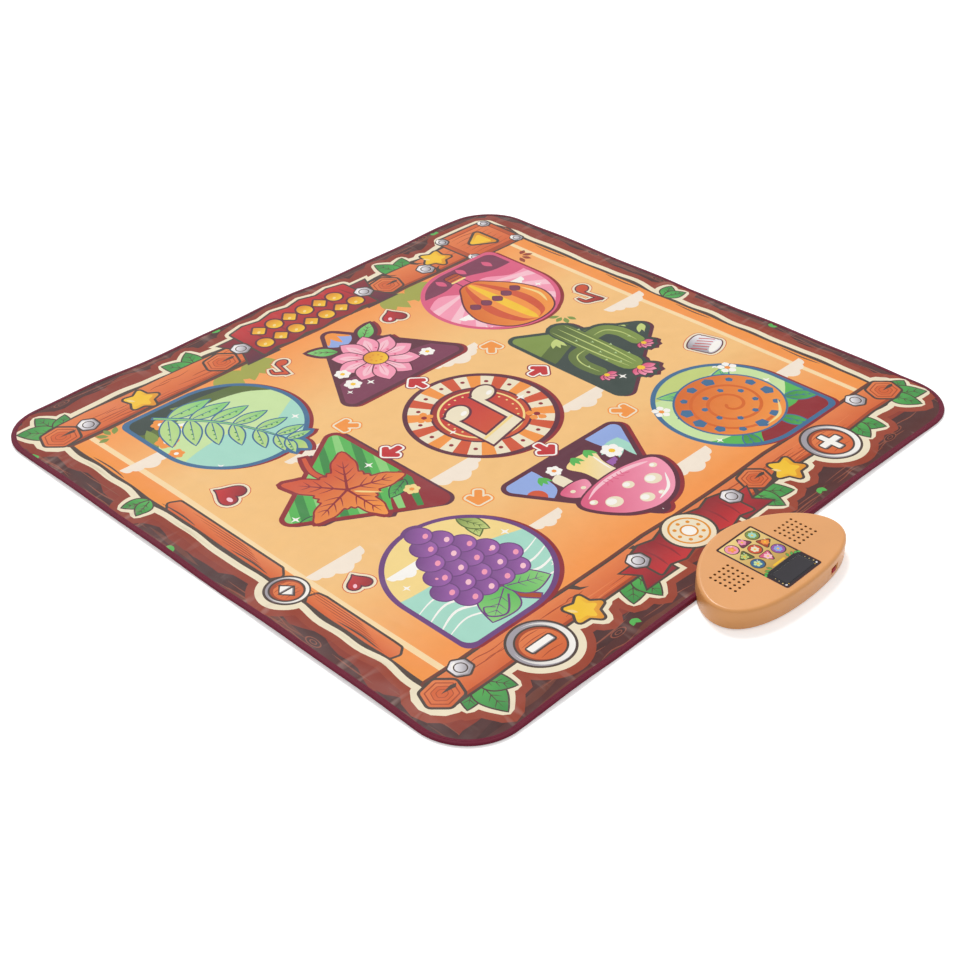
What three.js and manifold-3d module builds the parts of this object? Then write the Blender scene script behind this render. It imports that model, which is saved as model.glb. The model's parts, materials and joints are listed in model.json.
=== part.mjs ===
// A child's electronic dance mat: a laminated floor mat with nine step pads and four touch buttons, and an
// egg-shaped sound box that grips the middle of its front edge. Millimetres, +Z up. The origin is the
// middle of the mat's underside, +X runs to the dancer's right and the sound box lies towards -Y.
import * as THREE from "three";
import { mergeVertices } from "three/addons/utils/BufferGeometryUtils.js";
import Module from "manifold-3d";

const wasm = await Module();
wasm.setup();

// Clearances
const seatGap = 0.3; // between two pieces that touch on the real object
const overcut = 1; // how far a cutting tool runs past the face that it cuts
const weld = 0.0001; // points closer than this are one point

// How finely curves are cut
const cornerSteps = 9;
const padCornerSteps = 4;
const padSides = 32;
const eggSteps = 16;
const filletSteps = 3;
const bendSteps = 4;
const roundSides = 12;
const smallSides = 8;
const holeSides = 6;

// Mat
const matWidth = 900;
const matDepth = 850;
const matCornerRadius = 70;
const dotHeight = 0.8;
const baseThickness = 1;
const filmThickness = 0.3;
const coverThickness = 0.8;
const dotRadius = 6;
const dotPitchX = 140;
const dotPitchY = 135;
const dotMargin = 30; // bare strip along the mat's edge

// Binding tape folded round the mat's edge
const tapeThickness = 0.8;
const tapeLip = 9; // how far each lip reaches in from the edge
const tapeWall = 1.2;
const tapeTuck = 4; // how far each end runs in past the sound box's wall
const tapeRoundShares = [
  [1, 0],
  [0.3, 0.35],
  [0, 1],
]; // places on the rounded outer edge, as shares of its reach and its height
const tapeRoundReach = 2.2;
const tapeRoundHeight = 1.9;

// Step pads
const padLines = 3; // rows, and columns
const padMarginX = 97.5; // the mat's width beside the columns of pads, on each side
const padMarginY = 107;
const padRadius = 90;
const padBase = 210; // width of a pointed pad before its corners are rounded
const padStripX = 50; // from the middle pad to the base of the pointed pads beside it
const padStripY = 27;
const padCornerRadius = 24;
const pointedShift = 20; // how far the pointed pads lie out from the lines of the round ones
const padGap = 0.5;
const padTravel = 2.2;

// Touch buttons
const volumeRadius = 26;
const volumeMinusShift = -39; // to the side of a column of pads
const volumePlusShift = 15;
const volumeFromPads = 28;
const modeRadius = 19;
const modeFromEdge = 50;
const modeShift = 115; // behind the front row of pads
const startWidth = 84;
const startDepth = 52;
const startCornerRadius = 12;
const startFromSide = 100;
const startFromBack = 78;

// Sound box outline
const boxX = -13;
const boxOverlap = 40.5; // how far it reaches over the mat
const boxHalfWidth = 107.5;
const boxHalfDepth = 63;
const boxWaist = 14.5; // how far in front of its middle the box is widest
const frontBulgeShares = [0.73, 0.645]; // the front curve's handles, of the half depth and the half width
const rearBulgeShares = [0.286, 0.516];
const boxTop = 26;
const boxWall = 2.2;
const boxDraft = 0.4;
const boxEdgeRadius = 5;
const boxFloor = 2;
const floorChamfer = 1.2;
const rimThickness = 1.2;
const rimHeight = 2.4;

// Label panel and display
const panelWidth = 64;
const panelFromFront = 10; // in from the box's front edge
const panelFromBack = 19;
const panelCornerRadius = 3;
const panelThickness = 0.5;
const displayWidth = 50;
const displayDepth = 22;
const displayFromPanel = 5; // in from the panel's front edge
const lensThickness = 1.2;
const lensLedge = 2;
const moduleBorder = 1; // between the display module and the opening that it shows through

// Speaker grilles and speakers
const grilleColumns = 5;
const grilleRows = 6;
const grillePitchX = 7.5;
const grillePitchY = 6.6;
const grilleHoleRadius = 1.35;
const speakerY = 1.5;
const speakerRadius = 18;
const speakerDepth = 9.5;
const speakerRim = 2.5;
const speakerRimHeight = 1;
const magnetRadius = 9.5;
const magnetHeight = 4.5;
const basketWall = 1;
const coneThickness = 0.4;
const collarThickness = 1.2;
const collarHeight = 5;

// Circuit board
const boardWidth = 77;
const boardLength = 80;
const boardThickness = 1.6;
const boardFromFront = 11;
const boardScrewInset = 4;
const chipSide = 12;
const chipHeight = 1.4;
const chipY = 4;
const connectorWidth = 34;
const connectorDepth = 6;
const connectorHeight = 3;
const connectorMouth = 1.5;
const tailWidth = 30;
const tailBend = 5;

// Cells and their bay
const cellCount = 3;
const cellRadius = 5.2;
const cellLength = 43.3;
const cellEdge = 0.6;
const nubRadius = 1.9;
const nubLength = 1.2;
const bayWall = 2.5;
const bayRoof = 1.2;
const contactThickness = 0.6;
const studLength = 2.4;
const studRadius = 2.5;
const solderTabWidth = 6;

// Battery door
const doorThickness = 1.6;
const doorGap = 0.4;
const doorLedge = 1.2; // how far the door's edge lies under the bay's walls
const tongueWidth = 10;
const tongueFromWall = 1.8;
const tabWidth = 9;
const tabThickness = 1.2;
const tabReach = 3;
const tabPlaceShare = 0.55; // of the bay's half length

// Screws
const screwRadius = 1.3;
const screwHole = 1.7;
const pilotRadius = 1.6;
const headRadius = 2.8;
const headHeight = 1.9;
const flatHead = 0.6;
const sinkRadius = 3.2;
const bossRadius = 3.5;
const tubeRadius = 4.7;
const tubeHeight = 8.2;
const tubeSeat = 2.5; // plastic over the screw's head
const shoulderRadius = 6.5;
const frontScrewX = 70;
const frontScrewY = -38;
const rearScrewX = 50;
const rearScrewFromEdge = 12.5; // in from the mat's edge
const frontScrewLength = 10;
const rearScrewLength = 8;
const boardScrewLength = 4;
const doorScrewReach = 2.5;
const doorScrewCover = 0.8; // plastic under the door screw's head

// Power switch in the front wall
const switchShare = 0.74; // place along the front curve, from its side to its middle
const switchZ = 12;
const switchTravel = 5;
const knobLength = 6.5;
const knobHeight = 4.4;
const knobProud = 1.2;
const recessDepth = 0.8;
const recessBorder = 1.8;
const switchSeat = 1.5;
const switchCaseDepth = 5;
const switchCaseBorder = 1.6;

// Feet
const footRadius = 5;
const footRecess = 0.5;
const footPlaceShares = [
  [0.46, -0.7],
  [0.84, -0.1],
]; // of the box's half width and half depth

// Heights of the mat's layers
const baseBottom = dotHeight;
const lowerFilmBottom = baseBottom + baseThickness;
const foamBottom = lowerFilmBottom + filmThickness;
const upperFilmBottom = foamBottom + padTravel + seatGap;
const coverBottom = upperFilmBottom + filmThickness;
const coverTop = coverBottom + coverThickness;
const bindingTop = coverTop + tapeThickness;
const layerInset = tapeWall + seatGap;

// Places on the mat
const frontEdge = -matDepth / 2;
const boxY = frontEdge + boxOverlap - boxHalfDepth;
const padPitchX = (matWidth - 2 * padMarginX) / padLines;
const padPitchY = (matDepth - 2 * padMarginY) / padLines;
const volumeMinusX = -padPitchX + volumeMinusShift;
const volumePlusX = padPitchX + volumePlusShift;
const volumeY = -padPitchY - padRadius - volumeFromPads - volumeRadius;
const modeX = -matWidth / 2 + modeFromEdge;
const modeY = -padPitchY + modeShift;
const startX = matWidth / 2 - startFromSide;
const startY = matDepth / 2 - startFromBack;

// Heights in the sound box
const floorBottom = dotHeight;
const floorTop = floorBottom + boxFloor;
const wallBottom = floorTop + seatGap;
const ceiling = boxTop - boxWall;
const filletBottom = boxTop - boxEdgeRadius;
const doorTop = floorBottom + doorThickness;
const bayBottom = doorTop + seatGap;
const cellZ = bayBottom + cellRadius + seatGap;
const bayInnerTop = cellZ + cellRadius + seatGap;
const bayTop = bayInnerTop + bayRoof;
const boardBottom = bayTop + headHeight + seatGap;
const boardTop = boardBottom + boardThickness;
const panelBottom = boxTop - panelThickness;
const lensBottom = boxTop - lensThickness;
const tubeTop = floorBottom + tubeHeight;
const doorScrewTop = floorBottom + doorThickness - doorScrewCover;

// Places in the sound box, from its middle
const matEdge = boxHalfDepth - boxOverlap;
const rearScrewY = matEdge + rearScrewFromEdge;
const boardFront = -boxHalfDepth + boardFromFront;
const boardY = boardFront + boardLength / 2;
const panelLength = 2 * boxHalfDepth - panelFromFront - panelFromBack;
const panelY = (panelFromFront - panelFromBack) / 2;
const speakerX = boardWidth / 2 + collarThickness + speakerRadius + 2 * seatGap;
const displayY = -boxHalfDepth + panelFromFront + displayFromPanel + displayDepth / 2;
const tongueFront = -boxHalfDepth + boxWall + rimThickness + tongueFromWall;
const doorScrewY = tongueFront + tongueWidth / 2;
const doorFront = doorScrewY + tongueWidth / 2;
const bayFront = doorFront + doorLedge;
const cellPitch = 2 * cellRadius + 2 * seatGap;
const bayBack = bayFront + cellCount * cellPitch + seatGap;
const bayY = (bayFront + bayBack) / 2;
const cellHalfSpan = (cellLength + nubLength) / 2;
const contactInner = cellHalfSpan + seatGap + studLength;
const bayHalfLength = contactInner + contactThickness + seatGap;
const bayRear = bayBack + bayWall;
const doorHinge = bayBack + doorLedge + doorGap;
const connectorY = (bayRear + matEdge) / 2;

// An anticlockwise outline of straight sides, its corners rounded and then the whole grown outwards
function roundedPolygon(corners, radius, steps, grow = 0) {
  const points = [];
  corners.forEach((corner, i) => {
    const before = corners.at(i - 1).clone().sub(corner).normalize();
    const after = corners[(i + 1) % corners.length].clone().sub(corner).normalize();
    const half = Math.acos(before.dot(after)) / 2;
    const inward = before.clone().add(after).normalize();
    const centre = corner.clone().addScaledVector(inward, radius / Math.sin(half));
    const start = Math.atan2(-inward.y, -inward.x) - (Math.PI / 2 - half);
    for (let k = 0; k <= steps; k++) {
      const a = start + (k / steps) * (Math.PI - 2 * half);
      const reach = radius + grow;
      points.push(new THREE.Vector2(centre.x + reach * Math.cos(a), centre.y + reach * Math.sin(a)));
    }
  });
  return points;
}

// The corners of a rectangle, from its front right, anticlockwise
function rectangle(width, depth, x = 0, y = 0) {
  return [
    new THREE.Vector2(x + width / 2, y - depth / 2),
    new THREE.Vector2(x + width / 2, y + depth / 2),
    new THREE.Vector2(x - width / 2, y + depth / 2),
    new THREE.Vector2(x - width / 2, y - depth / 2),
  ];
}

// The corners of a triangle of the given half height that points to the back, turned about its middle
function triangle(base, half, turn, x, y) {
  const middle = new THREE.Vector2(x, y);
  return [
    new THREE.Vector2(x + base / 2, y - half),
    new THREE.Vector2(x, y + half),
    new THREE.Vector2(x - base / 2, y - half),
  ].map((corner) => corner.rotateAround(middle, turn));
}

function circle(radius, sides, x = 0, y = 0) {
  return Array.from({ length: sides }, (_, i) => {
    const a = (2 * Math.PI * i) / sides;
    return new THREE.Vector2(x + radius * Math.cos(a), y + radius * Math.sin(a));
  });
}

// The front and rear curves of the egg's right half, from its widest point
const frontCurve = new THREE.CubicBezierCurve(
  new THREE.Vector2(boxHalfWidth, -boxWaist),
  new THREE.Vector2(boxHalfWidth, -frontBulgeShares[0] * boxHalfDepth),
  new THREE.Vector2(frontBulgeShares[1] * boxHalfWidth, -boxHalfDepth),
  new THREE.Vector2(0, -boxHalfDepth),
);
const rearCurve = new THREE.CubicBezierCurve(
  new THREE.Vector2(boxHalfWidth, -boxWaist),
  new THREE.Vector2(boxHalfWidth, rearBulgeShares[0] * boxHalfDepth),
  new THREE.Vector2(rearBulgeShares[1] * boxHalfWidth, boxHalfDepth),
  new THREE.Vector2(0, boxHalfDepth),
);

// The sound box's outline moved in by inset, anticlockwise from its widest point on the right
function egg(inset = 0) {
  const points = [];
  const add = (curve, step, mirror) => {
    const point = curve.getPoint(step / eggSteps);
    const along = curve.getTangent(step / eggSteps);
    const side = curve === rearCurve ? 1 : -1;
    point.addScaledVector(new THREE.Vector2(-along.y, along.x), side * inset);
    points.push(new THREE.Vector2(mirror * point.x, point.y));
  };
  for (let i = 0; i < eggSteps; i++) add(rearCurve, i, 1);
  for (let i = eggSteps; i > 0; i--) add(rearCurve, i, -1);
  for (let i = 0; i < eggSteps; i++) add(frontCurve, i, -1);
  for (let i = eggSteps; i > 0; i--) add(frontCurve, i, 1);
  return points;
}

// Half the sound box's width, a distance y behind its middle
function eggHalfWidth(y) {
  return rearCurve.getPoints(eggSteps * eggSteps).find((point) => point.y >= y).x;
}

// An upright slab with an outline, the heights of its two faces, and holes
function slab(outline, bottom, top, holes = []) {
  const shape = new THREE.Shape(outline);
  shape.holes = holes.map((points) => new THREE.Path(points));
  const made = new THREE.ExtrudeGeometry(shape, { depth: top - bottom, bevelEnabled: false });
  return made.translate(0, 0, bottom);
}

// A box from its low corner to its high corner
function block(x0, x1, y0, y1, z0, z1) {
  const made = new THREE.BoxGeometry(x1 - x0, y1 - y0, z1 - z0);
  return made.translate((x0 + x1) / 2, (y0 + y1) / 2, (z0 + z1) / 2);
}

function bar(radius, bottom, top, x = 0, y = 0, sides = roundSides) {
  return slab(circle(radius, sides, x, y), bottom, top);
}

// A turned piece, its profile as [radius, height] pairs from the axis at the bottom to the axis at the top
function turned(profile, sides = roundSides) {
  const points = profile.map(([radius, z]) => new THREE.Vector2(radius, z));
  return new THREE.LatheGeometry(points, sides).rotateX(Math.PI / 2);
}

// A closed skin over rings of equally many points, its two ends closed as the flat outline is
function skin(rings, outline) {
  const count = outline.length;
  const last = (rings.length - 1) * count;
  const index = [];
  for (let start = 0; start < last; start += count) {
    for (let i = 0; i < count; i++) {
      const a = start + i;
      const b = start + ((i + 1) % count);
      index.push(a, b, b + count, a, b + count, a + count);
    }
  }
  for (const [p, q, r] of THREE.ShapeUtils.triangulateShape(outline, [])) {
    index.push(p, r, q);
    index.push(last + p, last + q, last + r);
  }
  const made = new THREE.BufferGeometry();
  const position = rings.flat().flatMap((point) => point.toArray());
  made.setAttribute("position", new THREE.Float32BufferAttribute(position, 3));
  made.setIndex(index);
  return made;
}

// The sound box's outline raised through levels, each [inset, height], from the bottom up
function eggLoft(levels) {
  const ring = (inset, z) => egg(inset).map((point) => new THREE.Vector3(point.x, point.y, z));
  return skin(levels.map(([inset, z]) => ring(inset, z)), egg());
}

function solid(geometry) {
  const bare = geometry.clone();
  bare.deleteAttribute("normal");
  bare.deleteAttribute("uv");
  const merged = mergeVertices(bare, weld);
  const vertProperties = new Float32Array(merged.attributes.position.array);
  const triVerts = new Uint32Array(merged.index.array);
  return new wasm.Manifold(new wasm.Mesh({ numProp: 3, vertProperties, triVerts }));
}

// body joined with the pieces of joins, and then cut by those of cuts
function shaped(body, joins, cuts) {
  let made = solid(body);
  for (const piece of joins) made = made.add(solid(piece));
  for (const piece of cuts) made = made.subtract(solid(piece));
  const mesh = made.getMesh();
  const geometry = new THREE.BufferGeometry();
  geometry.setAttribute("position", new THREE.Float32BufferAttribute(mesh.vertProperties, 3));
  return geometry.setIndex(new THREE.BufferAttribute(mesh.triVerts, 1));
}

const materials = {
  print: { color: 0xf0a050, roughness: 0.55 },
  pad: { color: 0xb0483a, roughness: 0.55 },
  binding: { color: 0x7a1f38, roughness: 0.8 },
  base: { color: 0x3a3a3d, roughness: 0.9 },
  film: { color: 0xd8dde0, roughness: 0.3 },
  foam: { color: 0xf2f2ee, roughness: 0.95 },
  shell: { color: 0xeab07c, roughness: 0.4 },
  label: { color: 0xd9a860, roughness: 0.3 },
  smoked: { color: 0x2c2a33, roughness: 0.15 },
  digits: { color: 0xf4f4f0, roughness: 0.5 },
  board: { color: 0x1f6b3f, roughness: 0.5 },
  black: { color: 0x1c1c1e, roughness: 0.6 },
  red: { color: 0x8a2030, roughness: 0.45 },
  steel: { color: 0xb8bbc0, roughness: 0.35, metalness: 1 },
  cell: { color: 0x35506e, roughness: 0.4 },
  cone: { color: 0x2a2a2c, roughness: 0.9 },
  rubber: { color: 0x2b2b2d, roughness: 0.9 },
};
for (const [name, look] of Object.entries(materials)) {
  materials[name] = new THREE.MeshStandardMaterial(look);
}

const mat = new THREE.Group();
const box = new THREE.Group();
box.position.set(boxX, boxY, 0);
mat.add(box);

function place(group, name, material, geometry) {
  const mesh = new THREE.Mesh(geometry, materials[material]);
  mesh.name = name;
  group.add(mesh);
}

// The zones that are pressed, each a name and an outline that can be grown
const zones = [];
const rows = { front: -1, middle: 0, back: 1 };
const columns = { left: -1, centre: 0, right: 1 };
for (const [rowName, row] of Object.entries(rows)) {
  for (const [columnName, column] of Object.entries(columns)) {
    const x = column * padPitchX;
    const y = row * padPitchY;
    const half = (row === 0 ? padPitchX - padStripX : padPitchY - padStripY) - padRadius;
    const turn = Math.atan2(-column, row);
    const corners = triangle(padBase, half, turn, x + column * pointedShift, y + row * pointedShift);
    const round = (grow) => circle(padRadius + grow, padSides, x, y);
    const pointed = (grow) => roundedPolygon(corners, padCornerRadius, padCornerSteps, grow);
    const outline = (row + column) % 2 === 0 ? round : pointed;
    zones.push({ name: `step_pad_${rowName}_${columnName}`, outline });
  }
}
const volumeOutline = (x) => (grow) => circle(volumeRadius + grow, roundSides, x, volumeY);
const startCorners = rectangle(startWidth, startDepth, startX, startY);
zones.push(
  { name: "volume_down_pad", outline: volumeOutline(volumeMinusX) },
  { name: "volume_up_pad", outline: volumeOutline(volumePlusX) },
  { name: "mode_pad", outline: (grow) => circle(modeRadius + grow, roundSides, modeX, modeY) },
  {
    name: "start_pad",
    outline: (grow) => roundedPolygon(startCorners, startCornerRadius, padCornerSteps, grow),
  },
);

// The mat's layers, with holes for the zones and for the two bosses of the sound box that pass through
const edgeCorners = rectangle(matWidth, matDepth);
const layer = roundedPolygon(edgeCorners, matCornerRadius, cornerSteps, -layerInset);
const bossHoles = [-1, 1].map((side) =>
  circle(bossRadius + seatGap, roundSides, boxX + side * rearScrewX, boxY + rearScrewY),
);
const holes = [...zones.map((zone) => zone.outline(padGap)), ...bossHoles];
place(mat, "lower_circuit_film", "film", slab(layer, lowerFilmBottom, foamBottom, bossHoles));
place(mat, "spacer_foam", "foam", slab(layer, foamBottom, upperFilmBottom, holes));
place(mat, "upper_circuit_film", "film", slab(layer, upperFilmBottom, coverBottom, holes));
place(mat, "printed_cover", "print", slab(layer, coverBottom, coverTop, holes));
for (const zone of zones) place(mat, zone.name, "pad", slab(zone.outline(0), upperFilmBottom, coverTop));

// The base sheet, with its dots, is cut out round the lip of the sound box
function baseSheet() {
  const dots = [];
  const countX = Math.floor((matWidth / 2 - dotMargin) / dotPitchX);
  const countY = Math.floor((matDepth / 2 - dotMargin) / dotPitchY);
  for (let i = -countX; i <= countX; i++) {
    for (let j = -countY; j <= countY; j++) {
      const x = i * dotPitchX;
      const y = j * dotPitchY;
      const besideBox = Math.abs(x - boxX) > boxHalfWidth + dotRadius;
      const behindBox = y > boxY + boxHalfDepth + dotRadius;
      const top = (baseBottom + lowerFilmBottom) / 2;
      if (besideBox || behindBox) dots.push(bar(dotRadius, 0, top, x, y, smallSides));
    }
  }
  const lipHole = slab(egg(-seatGap), 0, coverTop).translate(boxX, boxY, 0);
  return shaped(slab(layer, baseBottom, lowerFilmBottom), dots, [lipHole]);
}
place(mat, "nonslip_base", "base", baseSheet());

// The binding tape runs round the mat from one side of the sound box to the other
const tapeEnd = eggHalfWidth(matEdge) - boxWall - tapeTuck;
function bindingTape() {
  const rounding = tapeRoundShares.map(([inShare, upShare]) => [
    tapeRoundReach * inShare,
    tapeRoundHeight * upShare,
  ]);
  const topRounding = rounding.map(([reach, z]) => [reach, bindingTop - z]);
  const section = [
    [tapeWall, coverTop],
    [tapeLip, coverTop],
    [tapeLip, bindingTop],
    ...topRounding,
    ...rounding.reverse(),
    [tapeLip, 0],
    [tapeLip, baseBottom],
    [tapeWall, baseBottom],
  ];
  const edge = roundedPolygon(edgeCorners, matCornerRadius, cornerSteps);
  const inner = roundedPolygon(edgeCorners, matCornerRadius, cornerSteps, -tapeLip);
  const ends = [tapeEnd, -tapeEnd].map((x) => new THREE.Vector2(boxX + x, frontEdge));
  const path = [ends[0], ...edge, ends[1]];
  const inward = path.map((point, i) => {
    const target = inner[i - 1] ?? new THREE.Vector2(point.x, frontEdge + tapeLip);
    return target.clone().sub(point).divideScalar(tapeLip);
  });
  const rings = path.map((point, i) =>
    section.map(([reach, z]) => {
      const at = point.clone().addScaledVector(inward[i], reach);
      return new THREE.Vector3(at.x, at.y, z);
    }),
  );
  return skin(rings, section.map(([reach, z]) => new THREE.Vector2(reach, z)));
}
place(mat, "edge_binding", "binding", bindingTape());

// The power switch's frame: +X along the wall, +Y into the box
const switchPoint = frontCurve.getPoint(switchShare);
const switchAlong = frontCurve.getTangent(switchShare).negate();
const switchTurn = Math.atan2(switchAlong.y, switchAlong.x);
const switchMatrix = new THREE.Matrix4()
  .makeTranslation(switchPoint.x, switchPoint.y, switchZ)
  .multiply(new THREE.Matrix4().makeRotationZ(switchTurn));
const slotLength = knobLength + switchTravel + 2 * seatGap;
const slotHeight = knobHeight + 2 * seatGap;
const switchInner = boxWall + switchSeat;

// A block in the power switch's frame, spread evenly about its middle along the wall and in height
function switchBlock(length, height, y0, y1) {
  return block(-length / 2, length / 2, y0, y1, -height / 2, height / 2).applyMatrix4(switchMatrix);
}

const sides = [-1, 1];
const frontScrews = sides.map((side) => [side * frontScrewX, frontScrewY]);
const rearScrews = sides.map((side) => [side * rearScrewX, rearScrewY]);
const boardScrews = [-1, 1].flatMap((end) =>
  sides.map((side) => [
    side * (boardWidth / 2 - boardScrewInset),
    boardY + end * (boardLength / 2 - boardScrewInset),
  ]),
);

// All that lies behind the mat's front edge, between two heights
function behindEdge(bottom, top) {
  const reach = boxHalfWidth + overcut;
  return block(-reach, reach, matEdge - seatGap, boxHalfDepth + overcut, bottom, top);
}

// The space at each side where the binding tape passes, up to the given height
function tapePassages(top) {
  return sides.map((side) => {
    const reach = [side * (tapeEnd - seatGap), side * (boxHalfWidth + overcut)];
    const back = matEdge + tapeLip + seatGap;
    return block(Math.min(...reach), Math.max(...reach), matEdge - seatGap, back, 0, top);
  });
}

// An upright tool at each of some places, for a screw's pilot hole
function pilotHoles(places, bottom, length) {
  return places.map(([x, y]) => bar(pilotRadius, bottom, bottom + length, x, y));
}

function upperHousing() {
  const outer = eggLoft([
    [0, wallBottom],
    [boxDraft, filletBottom],
    ...filletLevels(boxEdgeRadius, 0),
  ]);
  const cavity = eggLoft([
    [boxWall, wallBottom - overcut],
    [boxWall + boxDraft, filletBottom],
    ...filletLevels(boxEdgeRadius - boxWall, boxWall),
  ]);
  const overMat = behindEdge(0, coverTop + seatGap);
  const shell = shaped(outer, [], [cavity, overMat, ...tapePassages(bindingTop + seatGap)]);
  const inTop = (ceiling + panelBottom) / 2;
  const posts = [
    ...frontScrews.map(([x, y]) => bar(bossRadius, tubeTop + seatGap, inTop, x, y)),
    ...rearScrews.map(([x, y]) => bar(bossRadius, lowerFilmBottom + seatGap, inTop, x, y)),
    ...rearScrews.map(([x, y]) => bar(shoulderRadius, coverTop + seatGap, inTop, x, y)),
    ...boardScrews.map(([x, y]) => bar(bossRadius, boardTop + seatGap, inTop, x, y)),
    ...sides.map((side) => {
      const inner = speakerRadius + seatGap;
      const x = side * speakerX;
      const outline = circle(inner + collarThickness, padSides, x, speakerY);
      return slab(outline, ceiling - collarHeight, inTop, [circle(inner, padSides, x, speakerY)]);
    }),
    switchBlock(slotLength + 2 * recessBorder, slotHeight + 2 * recessBorder, boxWall / 2, switchInner),
  ];
  const panelCorners = rectangle(panelWidth, panelLength, 0, panelY);
  const panel = roundedPolygon(panelCorners, panelCornerRadius, padCornerSteps);
  const window = rectangle(displayWidth - 2 * lensLedge, displayDepth - 2 * lensLedge, 0, displayY);
  const cuts = [
    ...pilotHoles(frontScrews, tubeTop, frontScrewLength - tubeSeat + seatGap),
    ...pilotHoles(rearScrews, lowerFilmBottom, rearScrewLength),
    ...pilotHoles(boardScrews, boardTop, boardScrewLength - boardThickness + seatGap),
    slab(panel, panelBottom, boxTop + overcut),
    slab(rectangle(displayWidth, displayDepth, 0, displayY), lensBottom, boxTop),
    slab(window, ceiling - overcut, boxTop),
    switchBlock(slotLength, slotHeight, -overcut, switchInner + overcut),
    switchBlock(slotLength + 2 * recessBorder, slotHeight + 2 * recessBorder, -overcut, recessDepth),
    ...grilleHoles(),
  ];
  return shaped(shell, posts, cuts);
}

// Levels of a rounded upper edge that ends at the box's top, less the given depth
function filletLevels(radius, depth) {
  return Array.from({ length: filletSteps }, (_, i) => {
    const a = ((i + 1) / filletSteps) * (Math.PI / 2);
    return [depth + boxDraft + radius * (1 - Math.cos(a)), filletBottom + radius * Math.sin(a)];
  });
}

function grilleHoles() {
  const holes = [];
  for (const side of sides) {
    for (let i = 0; i < grilleColumns; i++) {
      for (let j = 0; j < grilleRows; j++) {
        const x = side * speakerX + (i - (grilleColumns - 1) / 2) * grillePitchX;
        const y = speakerY + (j - (grilleRows - 1) / 2) * grillePitchY;
        holes.push(bar(grilleHoleRadius, ceiling - overcut, boxTop + overcut, x, y, holeSides));
      }
    }
  }
  return holes;
}
place(box, "upper_housing", "shell", upperHousing());

const feet = footPlaceShares.flatMap(([xShare, yShare]) =>
  sides.map((side) => [side * xShare * boxHalfWidth, yShare * boxHalfDepth]),
);
const tabs = sides.map((side) => side * tabPlaceShare * bayHalfLength);
function doorOutline(grow) {
  const right = bayHalfLength + doorLedge + grow;
  const front = bayFront - doorLedge - grow;
  const back = bayBack + doorLedge + grow;
  const tongue = tongueWidth / 2 + grow;
  return [
    [right, front],
    [right, back],
    [-right, back],
    [-right, front],
    [-tongue, front],
    [-tongue, tongueFront - grow],
    [tongue, tongueFront - grow],
    [tongue, front],
  ].map(([x, y]) => new THREE.Vector2(x, y));
}

function lowerHousing() {
  const plate = eggLoft([
    [floorChamfer, floorBottom],
    [0, floorBottom + floorChamfer],
    [0, floorTop],
  ]);
  const rim = slab(egg(boxWall + seatGap), floorBottom, floorTop + rimHeight, [
    egg(boxWall + seatGap + rimThickness),
  ]);
  const bay = block(
    -bayHalfLength - bayWall,
    bayHalfLength + bayWall,
    bayFront - bayWall,
    bayRear,
    floorBottom,
    bayTop,
  );
  const tubes = frontScrews.map(([x, y]) => bar(tubeRadius, floorBottom, tubeTop, x, y));
  const tongueBlock = block(
    -tongueWidth / 2 - bayWall,
    tongueWidth / 2 + bayWall,
    tongueFront - tongueFromWall / 2,
    bayFront,
    floorBottom,
    bayBottom + doorScrewReach + tongueFromWall,
  );
  const notchSweep = Math.hypot(tabReach, floorTop - floorBottom + seatGap + tabThickness);
  const cuts = [
    block(-bayHalfLength, bayHalfLength, bayFront, bayBack, 0, bayInnerTop),
    slab(doorOutline(doorGap), 0, bayBottom),
    ...tabs.flatMap((x) => {
      const left = x - tabWidth / 2 - seatGap;
      const right = x + tabWidth / 2 + seatGap;
      return [
        block(left, right, bayY, bayRear + overcut, floorTop, floorBottom + notchSweep + seatGap),
        block(left, right, bayY, doorHinge, 0, floorTop + seatGap),
      ];
    }),
    ...sides.map((side) => {
      const reach = [side * (contactInner - seatGap), side * bayHalfLength];
      const y0 = bayY - solderTabWidth / 2 - seatGap;
      const y1 = bayY + solderTabWidth / 2 + seatGap;
      return block(Math.min(...reach), Math.max(...reach), y0, y1, cellZ, bayTop + overcut);
    }),
    bar(pilotRadius, doorTop, bayBottom + doorScrewReach, 0, doorScrewY),
    ...frontScrews.map(([x, y]) => bar(sinkRadius, 0, tubeTop - tubeSeat, x, y)),
    ...frontScrews.map(([x, y]) => bar(screwHole, 0, tubeTop + overcut, x, y)),
    ...rearScrews.map(([x, y]) => bar(screwHole, 0, floorTop + overcut, x, y)),
    ...feet.map(([x, y]) => bar(footRadius + seatGap, 0, floorBottom + footRecess, x, y)),
  ];
  const overLip = behindEdge(lowerFilmBottom, floorTop + rimHeight + overcut);
  const body = shaped(plate, [rim], [overLip, ...tapePassages(ceiling)]);
  return shaped(body, [bay, ...tubes, tongueBlock], cuts);
}
place(box, "lower_housing", "shell", lowerHousing());

// Label panel, display lens and display module
const panelOutline = roundedPolygon(
  rectangle(panelWidth - 2 * seatGap, panelLength - 2 * seatGap, 0, panelY),
  panelCornerRadius - seatGap,
  padCornerSteps,
);
place(
  box,
  "label_panel",
  "label",
  slab(panelOutline, panelBottom, boxTop, [rectangle(displayWidth, displayDepth, 0, displayY)]),
);
place(
  box,
  "display_lens",
  "smoked",
  slab(rectangle(displayWidth - 2 * seatGap, displayDepth - 2 * seatGap, 0, displayY), lensBottom, boxTop),
);
const moduleInset = 2 * (lensLedge - moduleBorder);
place(
  box,
  "digit_display",
  "digits",
  slab(
    rectangle(displayWidth - moduleInset, displayDepth - moduleInset, 0, displayY),
    boardTop,
    ceiling - seatGap,
  ),
);

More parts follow.
